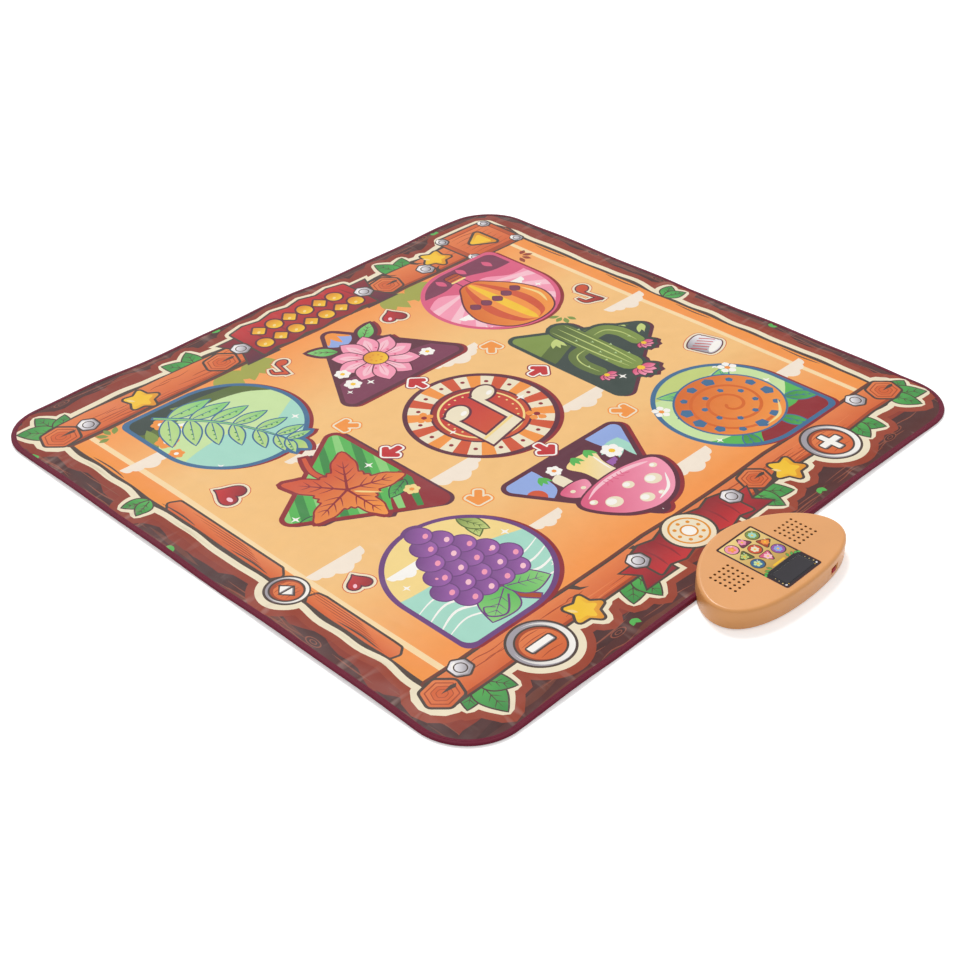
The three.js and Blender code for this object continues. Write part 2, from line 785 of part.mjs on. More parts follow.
// Circuit board with its sound chip, and the connector under it that the mat's flat cable plugs into
const boardCorners = rectangle(boardWidth, boardLength, 0, boardY);
const board = slab(roundedPolygon(boardCorners, boardScrewInset, padCornerSteps), boardBottom, boardTop);
const boardHoles = boardScrews.map(([x, y]) =>
  bar(screwHole, boardBottom - overcut, boardTop + overcut, x, y),
);
place(box, "circuit_board", "board", shaped(board, [], boardHoles));
const chip = slab(rectangle(chipSide, chipSide, 0, chipY), boardTop, boardTop + chipHeight);
place(box, "sound_chip", "black", chip);
const connectorBottom = boardBottom - connectorHeight;
const mouthHalf = filmThickness / 2 + seatGap;
place(
  box,
  "cable_connector",
  "digits",
  shaped(
    slab(rectangle(connectorWidth, connectorDepth, 0, connectorY), connectorBottom, boardBottom),
    [],
    [
      block(
        -tailWidth / 2 - seatGap,
        tailWidth / 2 + seatGap,
        connectorY - mouthHalf,
        connectorY + mouthHalf,
        connectorBottom - overcut,
        connectorBottom + connectorMouth + seatGap,
      ),
    ],
  ),
);

// The flat cable, from the edge of the mat's upper film up into the connector
function flatCable() {
  const half = filmThickness / 2;
  const z = upperFilmBottom + half;
  const middle = new THREE.Vector2(connectorY + tailBend, z + tailBend);
  const bend = (radius) =>
    Array.from({ length: bendSteps + 1 }, (_, i) => {
      const a = -Math.PI / 2 - (i / bendSteps) * (Math.PI / 2);
      return new THREE.Vector2(radius * Math.cos(a), radius * Math.sin(a)).add(middle);
    });
  const start = matEdge + layerInset - seatGap;
  const end = connectorBottom + connectorMouth;
  const profile = [
    new THREE.Vector2(start, z - half),
    new THREE.Vector2(start, z + half),
    ...bend(tailBend - half),
    new THREE.Vector2(connectorY + half, end),
    new THREE.Vector2(connectorY - half, end),
    ...bend(tailBend + half).reverse(),
  ];
  const across = new THREE.Matrix4().makeBasis(
    new THREE.Vector3(0, 1, 0),
    new THREE.Vector3(0, 0, 1),
    new THREE.Vector3(1, 0, 0),
  );
  return slab(profile, -tailWidth / 2, tailWidth / 2).applyMatrix4(across);
}
place(box, "flat_cable", "film", flatCable());

// Speakers
const speakerTop = ceiling - seatGap;
const speakerBottom = speakerTop - speakerDepth;
const rimBottom = speakerTop - speakerRimHeight;
const rimInner = speakerRadius - speakerRim;
const magnetTop = speakerBottom + magnetHeight;
const basketProfile = [
  [0, speakerBottom],
  [magnetRadius, speakerBottom],
  [magnetRadius, magnetTop],
  [speakerRadius, rimBottom],
  [speakerRadius, speakerTop],
  [rimInner, speakerTop],
  [rimInner, rimBottom],
  [magnetRadius - basketWall, magnetTop + basketWall],
  [0, magnetTop + basketWall],
];
const coneInner = magnetRadius - basketWall;
const coneBottom = magnetTop + basketWall + seatGap;
const coneOuter = rimInner - seatGap;
const coneTop = speakerTop - coneThickness;
const coneProfile = [
  [0, coneBottom],
  [coneInner - 2 * seatGap, coneBottom],
  [coneOuter, coneTop],
  [coneOuter, speakerTop],
  [coneInner - 2 * seatGap, coneBottom + coneThickness],
  [0, coneBottom + coneThickness],
];
for (const [i, name] of ["left", "right"].entries()) {
  const shift = (geometry) => geometry.translate(sides[i] * speakerX, speakerY, 0);
  place(box, `speaker_basket_${name}`, "steel", shift(turned(basketProfile, padSides)));
  place(box, `speaker_cone_${name}`, "cone", shift(turned(coneProfile, padSides)));
}

// Power switch: its case behind the wall, and the knob in the slot
const caseFront = switchInner + seatGap;
place(
  box,
  "power_switch_case",
  "black",
  switchBlock(
    slotLength + 2 * switchCaseBorder,
    slotHeight + 2 * switchCaseBorder,
    caseFront,
    caseFront + switchCaseDepth,
  ),
);
const knob = switchBlock(knobLength, knobHeight, -knobProud, switchInner);
knob.translate((-switchTravel / 2) * switchAlong.x, (-switchTravel / 2) * switchAlong.y, 0);
place(box, "power_switch_knob", "red", knob);

// Cells, laid head to tail, and the contact strips at their two ends
const cellProfile = [
  [0, 0],
  [cellRadius - cellEdge, 0],
  [cellRadius, cellEdge],
  [cellRadius, cellLength - cellEdge],
  [cellRadius - cellEdge, cellLength],
  [nubRadius, cellLength],
  [nubRadius, cellLength + nubLength],
  [0, cellLength + nubLength],
];
for (let i = 0; i < cellCount; i++) {
  const side = i % 2 === 0 ? 1 : -1;
  const cell = turned(cellProfile).translate(0, 0, -cellHalfSpan);
  const y = bayY + (i - (cellCount - 1) / 2) * cellPitch;
  place(box, `battery_${i + 1}`, "cell", cell.rotateY((side * Math.PI) / 2).translate(0, y, cellZ));
}
for (const [i, name] of ["left", "right"].entries()) {
  const plate = block(
    contactInner,
    contactInner + contactThickness,
    bayFront + seatGap,
    bayBack - seatGap,
    bayBottom + seatGap,
    bayInnerTop - seatGap,
  );
  const tab = block(
    contactInner,
    contactInner + contactThickness,
    bayY - solderTabWidth / 2,
    bayY + solderTabWidth / 2,
    cellZ,
    boardBottom - seatGap,
  );
  const studEnd = contactInner + contactThickness / 2;
  const studs = Array.from({ length: cellCount }, (_, k) => {
    const y = bayY + (k - (cellCount - 1) / 2) * cellPitch;
    const stud = bar(studRadius, contactInner - studLength, studEnd, 0, 0, smallSides);
    return stud.rotateY(Math.PI / 2).translate(0, y, cellZ);
  });
  const strip = shaped(plate, [tab, ...studs], []);
  if (i === 0) strip.rotateZ(Math.PI).translate(0, 2 * bayY, 0);
  place(box, `battery_contact_${name}`, "steel", strip);
}

// Battery door, its two tabs hooked over the floor, and its captive screw
function batteryDoor() {
  const plate = slab(doorOutline(0), floorBottom, doorTop);
  const tabBottom = floorTop + seatGap;
  const tabTop = tabBottom + tabThickness;
  const back = bayBack + doorLedge;
  const front = back - tabThickness;
  const hooks = tabs.flatMap((x) => [
    block(x - tabWidth / 2, x + tabWidth / 2, front, back, floorBottom, tabTop),
    block(x - tabWidth / 2, x + tabWidth / 2, front, doorHinge + tabReach, tabBottom, tabTop),
  ]);
  return shaped(plate, hooks, [
    bar(screwHole, floorBottom - overcut, doorTop + overcut, 0, doorScrewY),
    bar(sinkRadius, floorBottom - overcut, doorScrewTop, 0, doorScrewY),
  ]);
}
place(box, "battery_door", "shell", batteryDoor());

// A screw with its head below the given height and its shank above it
function screw(head, height, thickness, length) {
  return turned([
    [0, height - thickness],
    [head, height - thickness],
    [head, height],
    [screwRadius, height],
    [screwRadius, height + length],
    [0, height + length],
  ]);
}
const doorScrew = screw(headRadius, doorScrewTop, flatHead, doorScrewCover + doorScrewReach);
place(box, "battery_door_screw", "steel", doorScrew.translate(0, doorScrewY, 0));
const screws = [
  ...frontScrews.map((at) => ["housing_screw_front", at, tubeTop - tubeSeat, headHeight, frontScrewLength]),
  ...rearScrews.map((at) => ["housing_screw_rear", at, floorBottom, flatHead, rearScrewLength]),
  ...boardScrews.map((at) => ["board_screw", at, boardBottom, headHeight, boardScrewLength]),
];
const counts = {};
for (const [name, [x, y], height, thickness, length] of screws) {
  counts[name] = (counts[name] ?? 0) + 1;
  const made = screw(headRadius, height, thickness, length);
  place(box, `${name}_${counts[name]}`, "steel", made.translate(x, y, 0));
}

for (const [i, [x, y]] of feet.entries()) {
  place(box, `rubber_foot_${i + 1}`, "rubber", bar(footRadius, 0, floorBottom + footRecess, x, y));
}

export default mat;
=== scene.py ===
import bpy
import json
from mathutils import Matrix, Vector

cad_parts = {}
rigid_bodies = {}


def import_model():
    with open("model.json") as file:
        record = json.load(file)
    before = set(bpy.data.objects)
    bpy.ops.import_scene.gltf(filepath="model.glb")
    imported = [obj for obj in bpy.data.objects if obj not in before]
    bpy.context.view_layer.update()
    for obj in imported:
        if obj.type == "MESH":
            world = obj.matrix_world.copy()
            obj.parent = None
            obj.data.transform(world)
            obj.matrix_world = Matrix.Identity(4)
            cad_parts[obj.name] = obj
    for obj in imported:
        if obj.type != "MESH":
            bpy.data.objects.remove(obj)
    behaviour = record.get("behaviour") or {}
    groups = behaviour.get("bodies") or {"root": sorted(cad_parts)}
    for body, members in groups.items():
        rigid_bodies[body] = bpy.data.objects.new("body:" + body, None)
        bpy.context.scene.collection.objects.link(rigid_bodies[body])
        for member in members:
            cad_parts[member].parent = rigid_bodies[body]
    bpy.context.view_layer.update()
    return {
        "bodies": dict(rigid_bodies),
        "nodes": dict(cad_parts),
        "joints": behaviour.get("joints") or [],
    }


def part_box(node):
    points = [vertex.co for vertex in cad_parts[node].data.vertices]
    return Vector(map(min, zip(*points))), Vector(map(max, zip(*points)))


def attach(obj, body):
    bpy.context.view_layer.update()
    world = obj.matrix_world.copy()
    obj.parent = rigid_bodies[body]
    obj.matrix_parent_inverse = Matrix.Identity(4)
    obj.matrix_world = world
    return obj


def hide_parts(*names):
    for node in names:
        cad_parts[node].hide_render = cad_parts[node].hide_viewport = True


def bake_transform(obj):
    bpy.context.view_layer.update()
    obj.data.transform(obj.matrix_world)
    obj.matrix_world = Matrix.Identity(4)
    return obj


bl_info = {
    "name": "Dance mat looks",
    "version": (1, 0, 0),
    "blender": (4, 5, 0),
    "location": "3D View > Sidebar > Dance Mat",
    "description": "Dresses the packed dance mat with its printed cover, binding, sound box and stage",
    "category": "Object",
}

import json
from math import acos, atan2, copysign, cos, pi as PI, radians, sin, sqrt, tan

import bmesh
import bpy
import numpy as np
from mathutils import Matrix, Vector
from mathutils.geometry import delaunay_2d_cdt

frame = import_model()
NODES = frame["nodes"]
ROOT = "mat_and_sound_box"
MM = 0.001


def span(node):
    """The lowest and highest corner of a CAD node, in millimetres."""
    low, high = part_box(node)
    return np.array(low) / MM, np.array(high) / MM


def middle(node):
    return sum(span(node)) / 2


MAT_LOW, MAT_HIGH = span("edge_binding")
COVER_LOW, COVER_HIGH = span("printed_cover")
BOX_LOW, BOX_HIGH = span("upper_housing")
BOX_MIDDLE = (BOX_LOW + BOX_HIGH) / 2
MAT_CORNER = 70.0
LAYER_INSET = COVER_LOW[0] - MAT_LOW[0]
BASE_THICKNESS = 1.0
BASE_BOTTOM = span("nonslip_base")[1][2] - BASE_THICKNESS
PADS = [name for name in frame["bodies"] if name.endswith("_pad") or name.startswith("step_pad")]

# The colours of the print, as a painter mixes them
PAINTS = {
    "bark": "#582A27",
    "bark_dark": "#421C1B",
    "bark_light": "#6C3629",
    "grain": "#8E4A36",
    "rust": "#9A3E26",
    "rust_dark": "#8A2F1C",
    "cream": "#F1E4C6",
    "ink": "#4A3A32",
    "wood": "#D6622F",
    "wood_dark": "#A94520",
    "wood_light": "#E67F47",
    "stripe": "#FBDBA8",
    "cloud": "#F7E8D6",
    "leaf": "#55B552",
    "leaf_dark": "#368840",
    "leaf_light": "#8CD07A",
    "pale_leaf": "#B9DA8C",
    "shadow_leaf": "#A3A548",
    "gold": "#F8C62F",
    "gold_dark": "#E2901E",
    "metal": "#F2EEF1",
    "metal_dark": "#A29CA3",
    "white": "#FCF8F1",
    "red": "#C4292D",
    "red_dark": "#8E1F28",
    "maroon": "#5B2135",
    "maroon_light": "#7A3350",
    "pink": "#F79BB5",
    "pink_light": "#FBC4D0",
    "rose": "#DD5B80",
    "purple": "#9A5BA8",
    "purple_dark": "#6B3C7A",
    "mint": "#A6DBC8",
    "sand": "#F7D98C",
    "blue": "#3E6C94",
    "sky": "#93ABE2",
    "lime": "#C5D37C",
    "pale_green": "#CBE5A4",
    "olive": "#7F9545",
    "olive_dark": "#56692F",
    "moss": "#33413B",
    "orange": "#F4953F",
    "orange_dark": "#D8661F",
    "brick": "#D2532F",
    "backing": "#E9E6DE",
    "ochre": "#C79B4C",
    "label_dark": "#28252B",
    "label_frame": "#3C1F22",
}


def linear(colour):
    """A written colour or a paint's name as linear red, green and blue, and such a triple as it is."""
    if not isinstance(colour, str):
        return list(colour)
    text = PAINTS.get(colour, colour)
    channels = [int(text[i : i + 2], 16) / 255 for i in (1, 3, 5)]
    return [c / 12.92 if c <= 0.04045 else ((c + 0.055) / 1.055) ** 2.4 for c in channels]


def number(name, description, default, **limits):
    return bpy.props.FloatProperty(name=name, description=description, default=default, **limits)


def length(name, description, millimetres):
    return number(name, description, millimetres * MM, min=0, subtype="DISTANCE", unit="LENGTH", precision=5)


def angle(name, description, degrees):
    return number(name, description, radians(degrees), subtype="ANGLE")


def paint(name, description, default):
    return bpy.props.FloatVectorProperty(
        name=name, description=description, default=linear(default), size=3, min=0, max=1, subtype="COLOR"
    )


class MatSettings(bpy.types.PropertyGroup):
    """Sizes and colours of the soft mat."""

    edge_wave: length("Edge wave", "How far the mat's loose edge lifts off the floor in waves", 3.4)
    inner_wave: length("Inner wave", "How far the mat's surface swells between its pads", 0.35)
    wave_reach: length("Wave reach", "How far in from the edge the waves run", 95)
    edge_pinch: number(
        "Edge pinch", "Share by which the binding presses the layers thinner", 0.5,
        min=0, max=0.6, subtype="FACTOR",
    )
    cell: length("Cell", "Size of the cells that the sheets are divided in", 11)
    press_slope: length("Press slope", "Width of the slope round a pad that is pressed", 24)
    dot_pitch: length("Grip dot pitch", "Distance between two grip dots under the mat", 20)
    dot_radius: length("Grip dot radius", "Radius of a grip dot", 2.8)
    stitch_pitch: length("Stitch pitch", "Distance between two stitches of the binding", 3.4)
    stitch_inset: length("Stitch inset", "Distance of the stitches from the binding's inner edge", 2.2)
    pucker: length("Pucker", "How far the binding swells and draws in along its stitches", 0.28)
    field: paint("Field", "Middle of the printed field", "#F6C37E")
    field_edge: paint("Field edge", "Printed field towards its border", "#F7984A")
    binding: paint("Binding", "Bias tape round the edge", "#711431")
    thread: paint("Thread", "Stitches of the binding", "#862441")
    base: paint("Base", "Anti-slip underside", "#3A3A3E")


class BoxSettings(bpy.types.PropertyGroup):
    """Sizes and colours of the sound box."""

    edge_radius: length("Edge radius", "Rounding of the housing's upper edge", 4.2)
    wall: length("Wall", "Thickness of the housing's wall", 2.2)
    waist: length("Waist", "How far in front of its middle the housing is widest", 14.5)
    hole_radius: length("Hole radius", "Radius of a hole in the speaker grilles", 1.65)
    hole_flare: length("Hole flare", "How far a grille hole widens at the surface", 0.2)
    hole_pitch_x: length("Hole pitch across", "Distance between two columns of holes", 7.5)
    hole_pitch_y: length("Hole pitch along", "Distance between two rows of holes", 6.6)
    slot_length: length("Switch slot length", "Length of the power switch's slot", 12.1)
    slot_height: length("Switch slot height", "Height of the power switch's slot", 5)
    slot_border: length("Switch border", "Border of the recess round the slot", 1.8)
    slot_recess: length("Switch recess", "Depth of the recess round the slot", 0.8)
    housing: paint("Housing", "Moulded housing", "#E6A05C")
    knob: paint("Knob", "Power switch", "#B02A36")


class StageSettings(bpy.types.PropertyGroup):
    """Camera, light and floor."""

    azimuth: angle("Azimuth", "Direction of the camera", -45.022)
    elevation: angle("Elevation", "Height of the camera", 34.785)
    roll: angle("Roll", "Turn of the camera about its view", -0.841)
    distance: length("Distance", "Distance of the camera from its target", 1914.06)
    target: bpy.props.FloatVectorProperty(
        name="Target",
        description="Point that the camera looks at",
        default=(-0.09912, -0.09530, 0),
        subtype="TRANSLATION",
        unit="LENGTH",
    )
    lens: number("Lens", "Focal length in millimetres", 59.945, unit="CAMERA")
    key: number("Key light", "Strength of the sun lamp", 1.5)
    surround: number("Surround", "Strength of the light all round", 0.56)
    floor: paint("Floor", "Pale floor", "#FAFAFA")


# Outlines, as rows of x and y in millimetres, anticlockwise


def rows(*columns):
    return np.column_stack(columns)


def around(a, radius, other=None):
    """Points at some angles on a circle, or on an ellipse with a second radius."""
    return rows(radius * np.cos(a), (radius if other is None else other) * np.sin(a))


def heading(turn):
    """What +Y becomes by a turn."""
    return np.array([-sin(turn), cos(turn)])


def ring(x, y, radius, other=None, turn=0.0, count=40):
    """A circle, or an ellipse with a second radius."""
    return turned(around(np.linspace(0, 2 * PI, count, endpoint=False), radius, other), turn) + (x, y)


def turned(points, turn):
    c, s = cos(turn), sin(turn)
    return np.asarray(points, float) @ np.array([[c, s], [-s, c]])


def star(x, y, outer, inner, tips=5, turn=0.0):
    a = np.arange(2 * tips) * PI / tips + PI / 2 + turn
    return around(a, np.where(np.arange(2 * tips) % 2, inner, outer)) + (x, y)


def leaf(x, y, size, width, turn=0.0, full=1.0, count=14):
    """A leaf or petal from its foot, pointing to +Y before it is turned. Full moves its widest place."""
    t = np.linspace(0, 1, count)
    half = width / 2 * np.sin(PI * t**full)
    return turned(np.vstack([rows(half, size * t), rows(-half, size * t)[::-1][1:-1]]), turn) + (x, y)


def curve(points, closed=False, steps=6):
    """A smooth line through points."""
    p = np.asarray(points, float)
    count = len(p)
    made = []
    for i in range(count if closed else count - 1):
        near = np.arange(i - 1, i + 3)
        a, b, c, d = p[near % count if closed else np.clip(near, 0, count - 1)]
        bend, twist = 2 * a - 5 * b + 4 * c - d, 3 * b - a - 3 * c + d
        made += [0.5 * (2 * b + (c - a) * t + bend * t**2 + twist * t**3) for t in np.arange(steps) / steps]
    return np.array(made if closed else [*made, p[-1]])


def blob(*points):
    return curve(points, closed=True)


def sideways(path):
    """Unit vectors to the left of a path at each of its points."""
    along = np.gradient(path, axis=0)
    along /= np.linalg.norm(along, axis=1)[:, None] + 1e-12
    return rows(-along[:, 1], along[:, 0])


def stroke(points, width, taper=0.0, steps=6):
    """A brush stroke through points. Taper 1 brings both ends to nothing, and -1 the last end alone."""
    path = curve(points, steps=steps)
    t = np.linspace(0, 1, len(path))
    thin = t**2 if taper < 0 else (2 * t - 1) ** 2
    half = (width / 2 * (1 - abs(taper) * thin))[:, None]
    left = sideways(path)
    return np.vstack([path - left * half, (path + left * half)[::-1]])


def bar(x, y, width, height, turn=0.0, radius=0.0):
    """A rectangle about its middle, with round corners where it has a radius."""
    corners = np.array([[1, -1], [1, 1], [-1, 1], [-1, -1]]) * (width / 2 - radius, height / 2 - radius)
    if radius:
        quarter = around(np.linspace(-PI / 2, 0, 5), radius)
        corners = np.vstack([turned(quarter, i * PI / 2) + corner for i, corner in enumerate(corners)])
    return turned(corners, turn) + (x, y)


def corners_of(low, high):
    """A rectangle's corners, anticlockwise from its lower right."""
    return [(high[0], low[1]), (high[0], high[1]), (low[0], high[1]), (low[0], low[1])]


def arc(centre, radius, start, sweep, steps):
    return [centre + radius * np.array([cos(a), sin(a)]) for a in np.linspace(start, start + sweep, steps)]


def rounded(corners, radius, steps=8):
    """Straight sides with round corners, whichever way the corners turn."""
    p = np.asarray(corners, float)
    made = []
    for i, corner in enumerate(p):
        before, after = p[i - 1] - corner, p[(i + 1) % len(p)] - corner
        sides = np.linalg.norm(before), np.linalg.norm(after)
        before, after = before / sides[0], after / sides[1]
        half = acos(np.clip(before @ after, -1, 1)) / 2
        if half > PI / 2 - 0.02:
            made.append(corner)
            continue
        reach = min(radius / tan(half), 0.48 * min(sides))
        middle_way = (before + after) / np.linalg.norm(before + after)
        centre = corner + middle_way * reach / cos(half)
        first, last = corner + before * reach - centre, corner + after * reach - centre
        start = atan2(first[1], first[0])
        sweep = (atan2(last[1], last[0]) - start + PI) % (2 * PI) - PI
        made += arc(centre, reach * tan(half), start, sweep, steps)
    return np.array(made)


def grown(points, amount, sharp=0.92):
    """An outline moved outwards. Sharp is the least cosine to which tips are drawn out."""
    p = np.asarray(points, float)
    after = np.roll(p, -1, 0)
    if (p[:, 0] * after[:, 1] - after[:, 0] * p[:, 1]).sum() < 0:
        p = p[::-1]
        after = np.roll(p, -1, 0)
    side = after - p
    side /= np.linalg.norm(side, axis=1)[:, None] + 1e-12
    normal = rows(side[:, 1], -side[:, 0])
    both = normal + np.roll(normal, 1, 0)
    both /= np.linalg.norm(both, axis=1)[:, None] + 1e-12
    reach = amount / np.maximum((both * normal).sum(1), 0.6 if len(p) < 18 else sharp)
    return p + both * reach[:, None]


def within(points, a, b):
    """Which points the directed edges from a to b wind round."""
    found = np.zeros(len(points), bool)
    for part in np.array_split(np.arange(len(points)), 1 + len(points) * len(a) // 3_000_000):
        x, y = points[part, 0, None], points[part, 1, None]
        side = (b[:, 0] - a[:, 0]) * (y - a[:, 1]) - (x - a[:, 0]) * (b[:, 1] - a[:, 1])
        up = (a[:, 1] <= y) & (b[:, 1] > y) & (side > 0)
        down = (a[:, 1] > y) & (b[:, 1] <= y) & (side < 0)
        found[part] = up.sum(1) != down.sum(1)
    return found


def inside(points, outline):
    """Which points lie within an outline."""
    found = ((points > outline.min(0)) & (points < outline.max(0))).all(1)
    found[found] = within(points[found], outline, np.roll(outline, -1, 0))
    return found


def eased(t):
    t = np.clip(t, 0, 1)
    return t * t * (3 - 2 * t)


class Drawing:
    """Flat shapes in millimetres, each painted over those before it."""

    def __init__(self, ink="ink", line=2.0):
        self.shapes, self.bolds = [], []
        self.ink, self.line = ink, line
        self.at, self.scale, self.clip = (0, 0, 0), 1.0, None

    def placed(self, points):
        x, y, turn = self.at
        return turned(np.asarray(points, float) * self.scale, turn) + (x, y)

    def fill(self, points, colour, fade=None):
        """Paints an outline. A fade is a second colour, and the two points between which it comes in."""
        ends = (linear(fade[0]), *self.placed([fade[1], fade[2]])) if fade else None
        self.shapes.append((self.placed(points), linear(colour), ends, self.clip))

    def inked(self, points, colour, fade=None, line=None, ink=None):
        """Paints an outline with a line round it."""
        self.fill(grown(points, line or self.line), ink or self.ink)
        self.fill(points, colour, fade)

    def bold(self, points, colour, fade=None, line=2.2, ink=None):
        """Paints an inked outline that stands out over the frame round it."""
        self.bolds.append(self.placed(points))
        self.inked(points, colour, fade, line, ink)

    def sparkles(self, *places):
        for x, y, size in places:
            self.fill(star(x, y, size, size * 0.3, 4), "white")

    def ray(self, x, y, a, half, reach, colour):
        """A wedge from x, y outwards."""
        self.fill([(x, y), *around([a - half, a + half], reach)], colour)

    def beads(self, x, y, reach, count, size, colour, start=0.0, sides=8):
        """Dots on a circle."""
        for k in range(count):
            a = 2 * PI * k / count + start
            self.fill(ring(x + reach * cos(a), y + reach * sin(a), size, count=sides), colour)

    def flower(self, x, y, radius, colour, heart="gold", petals=6):
        for i in range(petals):
            self.fill(leaf(x, y, radius, radius * 0.75, 2 * PI * i / petals, 1.6, 9), colour)
        self.fill(ring(x, y, radius * 0.28, count=12), heart)

    def veined(self, x, y, size, width, turn, colour="leaf", fade="leaf_light", ink=None, bold=False):
        """A leaf with its middle vein and side veins."""
        ink = ink or self.ink
        base, along = np.array((x, y)), heading(turn)
        draw = self.bold if bold else self.inked
        light = (fade, (x, y), tuple(base + along * size))
        draw(leaf(x, y, size, width, turn, 0.85), colour, light, 2.0, ink)
        foot, tip = base + along * size * 0.06, base + along * size * 0.9
        self.fill(stroke([foot, (foot + tip) / 2, tip], 1.7, -1, 4), ink)
        for share in (0.3, 0.5, 0.68):
            start = base + along * size * share
            for side in (-1, 1):
                end = start + turned([(side * width * 0.26, size * 0.15)], turn)[0]
                self.fill(stroke([start, (start + end) / 2, end], 1.1, -1, 2), ink)


def cloud(x, y, width):
    """A cloud's outline, flat on the side towards +Y."""
    t = np.linspace(-0.46, 0.49, 60)
    low = 0 * t
    for at, size in ((-0.36, 0.1), (-0.2, 0.15), (0.03, 0.21), (0.24, 0.16), (0.39, 0.1)):
        low = np.maximum(low, 1.45 * np.sqrt(np.maximum(size**2 - (t - at) ** 2, 0)))
    return np.vstack([rows(x + t * width, y - low * width), rows(x + t[::-1] * width, y + 2 + 0 * t)])


# The motifs of the step pads, upright about each pad's middle: what lies behind, and what stands out in front


def behind_sprig(d):
    d.fill(blob((-110, 10), (-40, 34), (20, 14), (110, 40), (110, 120), (-110, 120)), "mint")
    hill = blob((-110, -20), (-60, -50), (0, -60), (70, -46), (110, -10), (110, -110), (-110, -110))
    d.fill(hill, "olive_dark")
    d.fill(blob((-110, -56), (-50, -74), (20, -80), (90, -60), (90, -120), (-100, -120)), "moss")
    for x, y, turn in ((58, -80, 0.3), (80, -66, -0.3), (30, -86, 0.7)):
        d.fill(leaf(x, y, 44, 16, turn), "olive")
    for x, y, r in ((78, -26, 16), (60, -64, 13), (86, 4, 11)):
        d.flower(x, y, r, "orange", "white")
    d.flower(46, -40, 10, "white", "gold")
    d.sparkles((-70, 44, 7), (66, 66, 6), (-50, 72, 5))


def sprig(d):
    stem = curve([(60, -84), (28, -46), (-4, 2), (-26, 60), (-30, 86)])
    d.bold(leaf(-30, 78, 34, 17, 0.1), "leaf_light", ("lime", (-30, 80), (-30, 110)))
    for k, share in enumerate(np.linspace(0.16, 0.88, 7)):
        x, y = stem[int(share * (len(stem) - 1))]
        for side in (-1, 1):
            size = 66 - 5.5 * k
            turn = 0.5 + side * (1.05 - 0.03 * k)
            light = ("leaf_light", (x, y), (x - 40, y + 20))
            d.bold(leaf(x, y, size, size * 0.36, turn, 0.85), "pale_leaf", light)
            along = heading(turn) * size
            foot, tip = np.array((x, y)) + along * 0.08, np.array((x, y)) + along * 0.86
            d.fill(stroke([foot, (foot + tip) / 2, tip], 1.6, -1, 4), "blue")
            for reach in (0.34, 0.52, 0.7):
                d.fill(ring(*(np.array((x, y)) + along * reach + (2.5, 2)), 1.5, count=8), "leaf_dark")
    d.fill(stroke([(60, -84), (28, -46), (-4, 2), (-26, 60), (-30, 86)], 6.5, -0.7), "blue")
    d.fill(stroke([(58, -82), (28, -45), (-4, 2), (-26, 58)], 3, -0.7), "leaf_light")


def behind_blossom(d):
    hill = blob((-120, 66), (-50, 40), (10, 56), (60, 36), (120, 60), (120, 130), (-120, 130))
    d.fill(hill, "maroon_light")
    d.fill(blob((-24, -60), (0, -40), (26, -58), (20, -110), (-20, -110)), "sky")
    for turn in (-0.5, 0, 0.5):
        d.fill(leaf(0, -96, 46, 13, turn), "orange")
    d.flower(70, 52, 14, "white")
    d.sparkles((88, 66, 6), (48, 66, 8), (-60, 60, 7), (-30, -30, 6))


def blossom(d):
    d.veined(-26, -34, 52, 24, 2.2, bold=True)
    d.veined(24, -34, 46, 22, -2.3, bold=True)
    for i in range(10):
        turn = 2 * PI * i / 10 + 0.2
        d.bold(leaf(-4, 20, 66, 33, turn, 1.5), "pink", line=2)
        along = heading(turn)
        start = np.array((-4, 20)) + along * 16
        d.fill(leaf(*start, 40, 13, turn, 1.4), "pink_light")
        d.fill(stroke([start, start + along * 16, start + along * 32], 1.3, -1, 3), "rose")
    for k in range(10):
        a = 2 * PI * (k + 0.5) / 10 + 0.2
        d.fill(ring(-4 - 30 * sin(a), 20 + 30 * cos(a), 2.2, count=8), "rose")
    d.inked(ring(-4, 20, 18, count=32), "gold", ("gold_dark", (-14, 34), (8, 2)))
    d.beads(-4, 20, 9, 7, 2, "gold_dark")
    d.flower(62, 20, 13, "white")
    d.flower(-70, 62, 12, "white")


def behind_balloon(d):
    for i in range(9):
        d.ray(0, -35, PI * i / 8 - 0.06, 0.08, 140, "pink_light")
    for y, shift in ((56, 30), (-6, -44), (20, 52)):
        d.fill(cloud(shift, y, 60) * (1, -1) + (0, 2 * y), "white")
    ridge = ((-120, -40), (-70, -22), (-28, -44), (20, -30), (58, -48), (120, -26))
    d.fill(blob(*ridge, (120, -130), (-120, -130)), "rose")
    ridge = ((-120, -62), (-64, -50), (-10, -66), (44, -54), (120, -70))
    d.fill(blob(*ridge, (120, -130), (-120, -130)), "maroon_light")
    for x, y in ((-64, -70), (-20, -80), (26, -74), (66, -78)):
        d.fill(leaf(x, y - 12, 22, 12, 0.1), "rose")
    d.sparkles((-72, 26, 7), (70, 66, 8), (-50, 72, 6))


